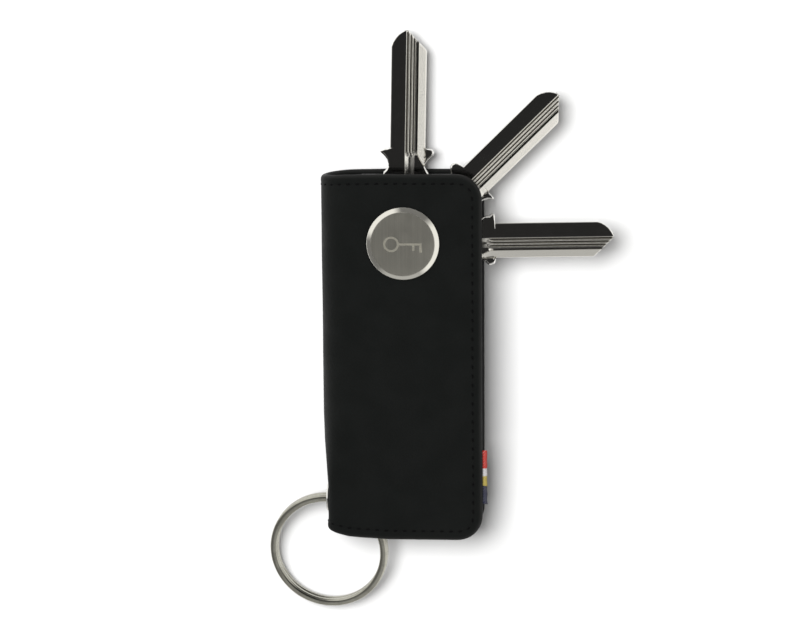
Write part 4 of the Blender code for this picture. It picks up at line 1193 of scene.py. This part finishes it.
def make_split_ring():
    """Sweep of the superellipse |a|^n + |b|^n = 1 along a circle.  The height climbs by a smooth step
    before the first turn closes, and the section shrinks by sqrt(1 - t^2) over the last half millimetre
    at both ends."""
    up = RING_NORMAL / np.linalg.norm(RING_NORMAL)
    flat = np.array([math.cos(RING_TOWARDS), math.sin(RING_TOWARDS), 0])
    along = flat - up * (flat @ up)
    along /= np.linalg.norm(along)
    side = np.cross(up, along)
    tip = 0.5 * MM / (2 * math.pi * RING_RADIUS)
    body = np.linspace(tip, RING_TURNS - tip, 260)
    cap = tip * (1 - np.cos(np.linspace(0, math.pi / 2, 6)))[:-1]
    turns = np.concatenate([cap, body, RING_TURNS - cap[::-1]])[:, None]
    from_end = np.minimum(np.minimum(turns, RING_TURNS - turns) / tip, 1)
    shrink = np.sqrt(np.maximum(1 - (1 - from_end) ** 2, 0))
    climb = soft_step((turns - RING_STEP[0]) / (RING_STEP[1] - RING_STEP[0]))
    around = turn_angles(28)[None]
    a = RING_WIRE[0] / 2 * signed_power(np.cos(around), 2 / RING_SQUARE) * shrink
    b = RING_WIRE[1] / 2 * signed_power(np.sin(around), 2 / RING_SQUARE) * shrink
    angle = RING_START + 2 * math.pi * turns
    height = (climb - 0.5) * RING_PITCH + b
    r = RING_RADIUS + a
    points = (RING_PIVOT + (RING_RADIUS + r * np.cos(angle))[..., None] * along
              + (r * np.sin(angle))[..., None] * side + height[..., None] * up)
    return grid_mesh("split_ring", points, False, True)


add_piece("steel_split_ring", smooth(make_split_ring(), 60), WIRE, "ring", "ring_nickel", "split_ring")


# %% Eyelet and its washer
def make_eyelet():
    """Rolled flange outside, barrel through the leather, and the clenched lip inside."""
    flange = (EYELET_HIGH[1] - EYELET_LOW[1]) / 2 / MM
    proud = (SPINE_FACE - EYELET_LOW[0]) / MM
    deep = (SPINE_FACE - EYELET_HIGH[0]) / MM
    corners = [(flange, 0.1), (2.6, 0.1), (2.6, deep + 0.3), (3.1, deep + 0.3), (3.1, deep), (2.3, deep),
               (2.3, proud), (flange - 0.1, proud)]
    path = rounded_path(corners, [0.08, 0.1, 0.1, 0.12, 0.15, 0.3, 0.45, 0.45], closed=True, steps=6) * MM
    return turned_mesh("eyelet", path, EYELET_CENTRE, True, THROUGH_SPINE, 80)


def make_eyelet_washer():
    """A flat ring inside the spine, under the clenched lip."""
    low, high = edges_of("eyelet_washer")
    outer = (high[1] - low[1]) / 2
    return flat_ring("washer", EYELET_CENTRE, EYELET_HOLE, outer,
                     (SPINE_FACE - high[0], SPINE_FACE - low[0]), 0.1 * MM, THROUGH_SPINE)


add_piece("eyelet", smooth(make_eyelet(), 60), EYELET_METAL, "case", "eyelet_nickel", "ring_eyelet")
add_piece("spine_washer", smooth(make_eyelet_washer(), 60), EYELET_METAL, "case", "eyelet_nickel",
          "eyelet_washer")


# %% [markdown]
# ## The woven tab
# A short length of striped ribbon is folded double and caught in the seam.  Its fold is a small tight loop,
# so its section is a superellipse that is pinched where the leather holds it.

# %% Woven tab
def make_ribbon():
    """Section of the doubled ribbon: x = a cos to the power 0.35 and z = t sin to the power 0.8, each
    with its sign kept.  The thickness closes by a quarter circle at both ends, and the fold wavers."""
    share = np.concatenate([[0, 0.01, 0.03], np.linspace(0.05, 0.95, 60), [0.97, 0.99, 1.0]])[:, None]
    around = turn_angles(56)[None]
    ends = 1 - rounded_edge(np.minimum(share, 1 - share), 0.05) / 0.05
    c, s = np.cos(around), np.sin(around)
    waver = 0.12 * MM * np.sin(share * 17.0) * np.maximum(c, 0) * ends
    middle, half = (TAB_LOW[0] + TAB_HIGH[0]) / 2, (TAB_HIGH[0] - TAB_LOW[0]) / 2
    x = middle + half * signed_power(c, 0.35) - np.abs(waver)
    y = TAB_LOW[1] + share * (TAB_HIGH[1] - TAB_LOW[1])
    z = tab_height(y) + 0.25 * MM * signed_power(s, 0.8) * ends
    return grid_mesh("ribbon_tab", np.stack([x, y + 0 * around, z], axis=-1), False, True)


add_piece("ribbon_tab", smooth(make_ribbon(), 70), RIBBON, "case", "ribbon", "woven_tab")


# %% [markdown]
# ## Floor, light and camera
# The case lies on a white sheet.  One wide soft lamp lights the sheet and the leather and makes the
# shadows.  Polished metal doesn't mirror that lamp; it shows the surroundings, which are dark straight
# above and bright in wide patches round the sides.

# %% Floor
def make_floor():
    """A square of white paper far wider than the object, a hair below it."""
    half, below = 1.2, -0.00002
    corners = [(-half, -half, below), (half, -half, below), (half, half, below), (-half, half, below)]
    mesh = bpy.data.meshes.new("paper_floor")
    mesh.from_pydata(corners, [], [(0, 1, 2, 3)])
    paper, *_ = new_finish("white_paper", Roughness=0.9, Specular_IOR_Level=0.1,
                           Base_Color=(0.52, 0.52, 0.52, 1))
    mesh.materials.append(paper)
    floor = bpy.data.objects.new("paper_floor", mesh)
    bpy.context.scene.collection.objects.link(floor)
    floor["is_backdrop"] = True


make_floor()

# %% Light
DARK_ABOVE = 0.03
SIDE_LIGHT = 1.05
SIDE_DIM = 0.2
# Angles from straight above between which the dark patch gives way to the sides
DARK_EDGE = (15, 27)
# Each bright wall: its compass angle, and where its edges fade, as a cosine; the last one is dimmer
WALLS = ((140, 0.72, 0.92), (-15, 0.45, 0.85), (-95, 0.75, 0.95))
LAST_WALL = 0.35


def make_sky():
    """Brightness of the surroundings.  By height: dark overhead, bright towards the sides.  Round the
    compass: two wide bright walls, at the upper left and the right, and a dimmer one below."""
    world = bpy.data.worlds.new("studio")
    world.use_nodes = True
    bpy.context.scene.world = world
    nodes = Nodes(world.node_tree)
    back = world.node_tree.nodes["Background"]
    x, y, z = nodes.parts(nodes.add("ShaderNodeTexCoord").outputs["Generated"])
    flat = nodes.maths("SQRT", nodes.maths("SUBTRACT", 1.0, nodes.times(z, z)))
    level = nodes.maths("MAXIMUM", flat, 0.05)
    walls = []
    for degrees, fade, full in WALLS:
        a = math.radians(degrees)
        towards = nodes.maths("MULTIPLY_ADD", x, math.cos(a), nodes.times(y, math.sin(a)))
        walls.append(nodes.ramp(nodes.maths("DIVIDE", towards, level), fade, full))
    wall = nodes.maths("MAXIMUM", *walls[:2])
    wall = nodes.maths("MAXIMUM", wall, nodes.times(walls[2], LAST_WALL))
    side = nodes.maths("MULTIPLY_ADD", wall, SIDE_LIGHT - SIDE_DIM, SIDE_DIM)
    height = nodes.ramp(z, *(math.cos(math.radians(degrees)) for degrees in DARK_EDGE))
    value = nodes.maths("MAXIMUM", nodes.times(side, height), DARK_ABOVE)
    nodes.feed(back.inputs["Color"], nodes.blend(value, (0, 0, 0, 1), (1.0, 0.995, 0.98, 1)))
    back.inputs["Strength"].default_value = 1.0


def soft_box(name, place, aim, size, power):
    """A square area light that faces a point.  Metal mirrors the surroundings, not this lamp."""
    data = bpy.data.lights.new(name, "AREA")
    data.shape, data.size, data.energy = "SQUARE", size, power
    lamp = bpy.data.objects.new(name, data)
    bpy.context.scene.collection.objects.link(lamp)
    lamp.location = place
    lamp.visible_glossy = False
    away = np.array(place) - np.array(aim)
    z = away / np.linalg.norm(away)
    x = np.cross((0, 1, 0), z)
    x /= np.linalg.norm(x)
    lamp.rotation_euler = matrix_of(x, np.cross(z, x), z).to_euler()


def matrix_of(x, y, z):
    """A turn from three axes."""
    return Matrix(np.array([x, y, z]).T.tolist())


make_sky()
soft_box("key_light", (-0.27, 0.25, 0.90), (0, 0, 0), 0.6, 19.5)

# %% Camera
CAMERA_AIM = np.array([0.36, 9.32, 13.0]) * MM
CAMERA_PLACE = np.array([46.8, 108.05, 603.0]) * MM
CAMERA_ROLL = math.radians(0.4)


def make_camera():
    """The camera looks down from a little to the right and above, with a long lens."""
    data = bpy.data.cameras.new("camera")
    data.lens, data.sensor_width = 110.0, 36.0
    camera = bpy.data.objects.new("camera", data)
    bpy.context.scene.collection.objects.link(camera)
    back = CAMERA_PLACE - CAMERA_AIM
    back /= np.linalg.norm(back)
    right = np.cross((0, 1, 0), back)
    right /= np.linalg.norm(right)
    up = np.cross(back, right)
    turned_right = right * math.cos(CAMERA_ROLL) - up * math.sin(CAMERA_ROLL)
    turned_up = right * math.sin(CAMERA_ROLL) + up * math.cos(CAMERA_ROLL)
    camera.location = CAMERA_PLACE
    camera.rotation_euler = matrix_of(turned_right, turned_up, back).to_euler()
    bpy.context.scene.camera = camera


make_camera()
bpy.context.scene.view_settings.view_transform = "Standard"

# %% Size and finish
low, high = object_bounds()
print("visual box mm:", [round(v / MM, 2) for v in [*low, *high]])
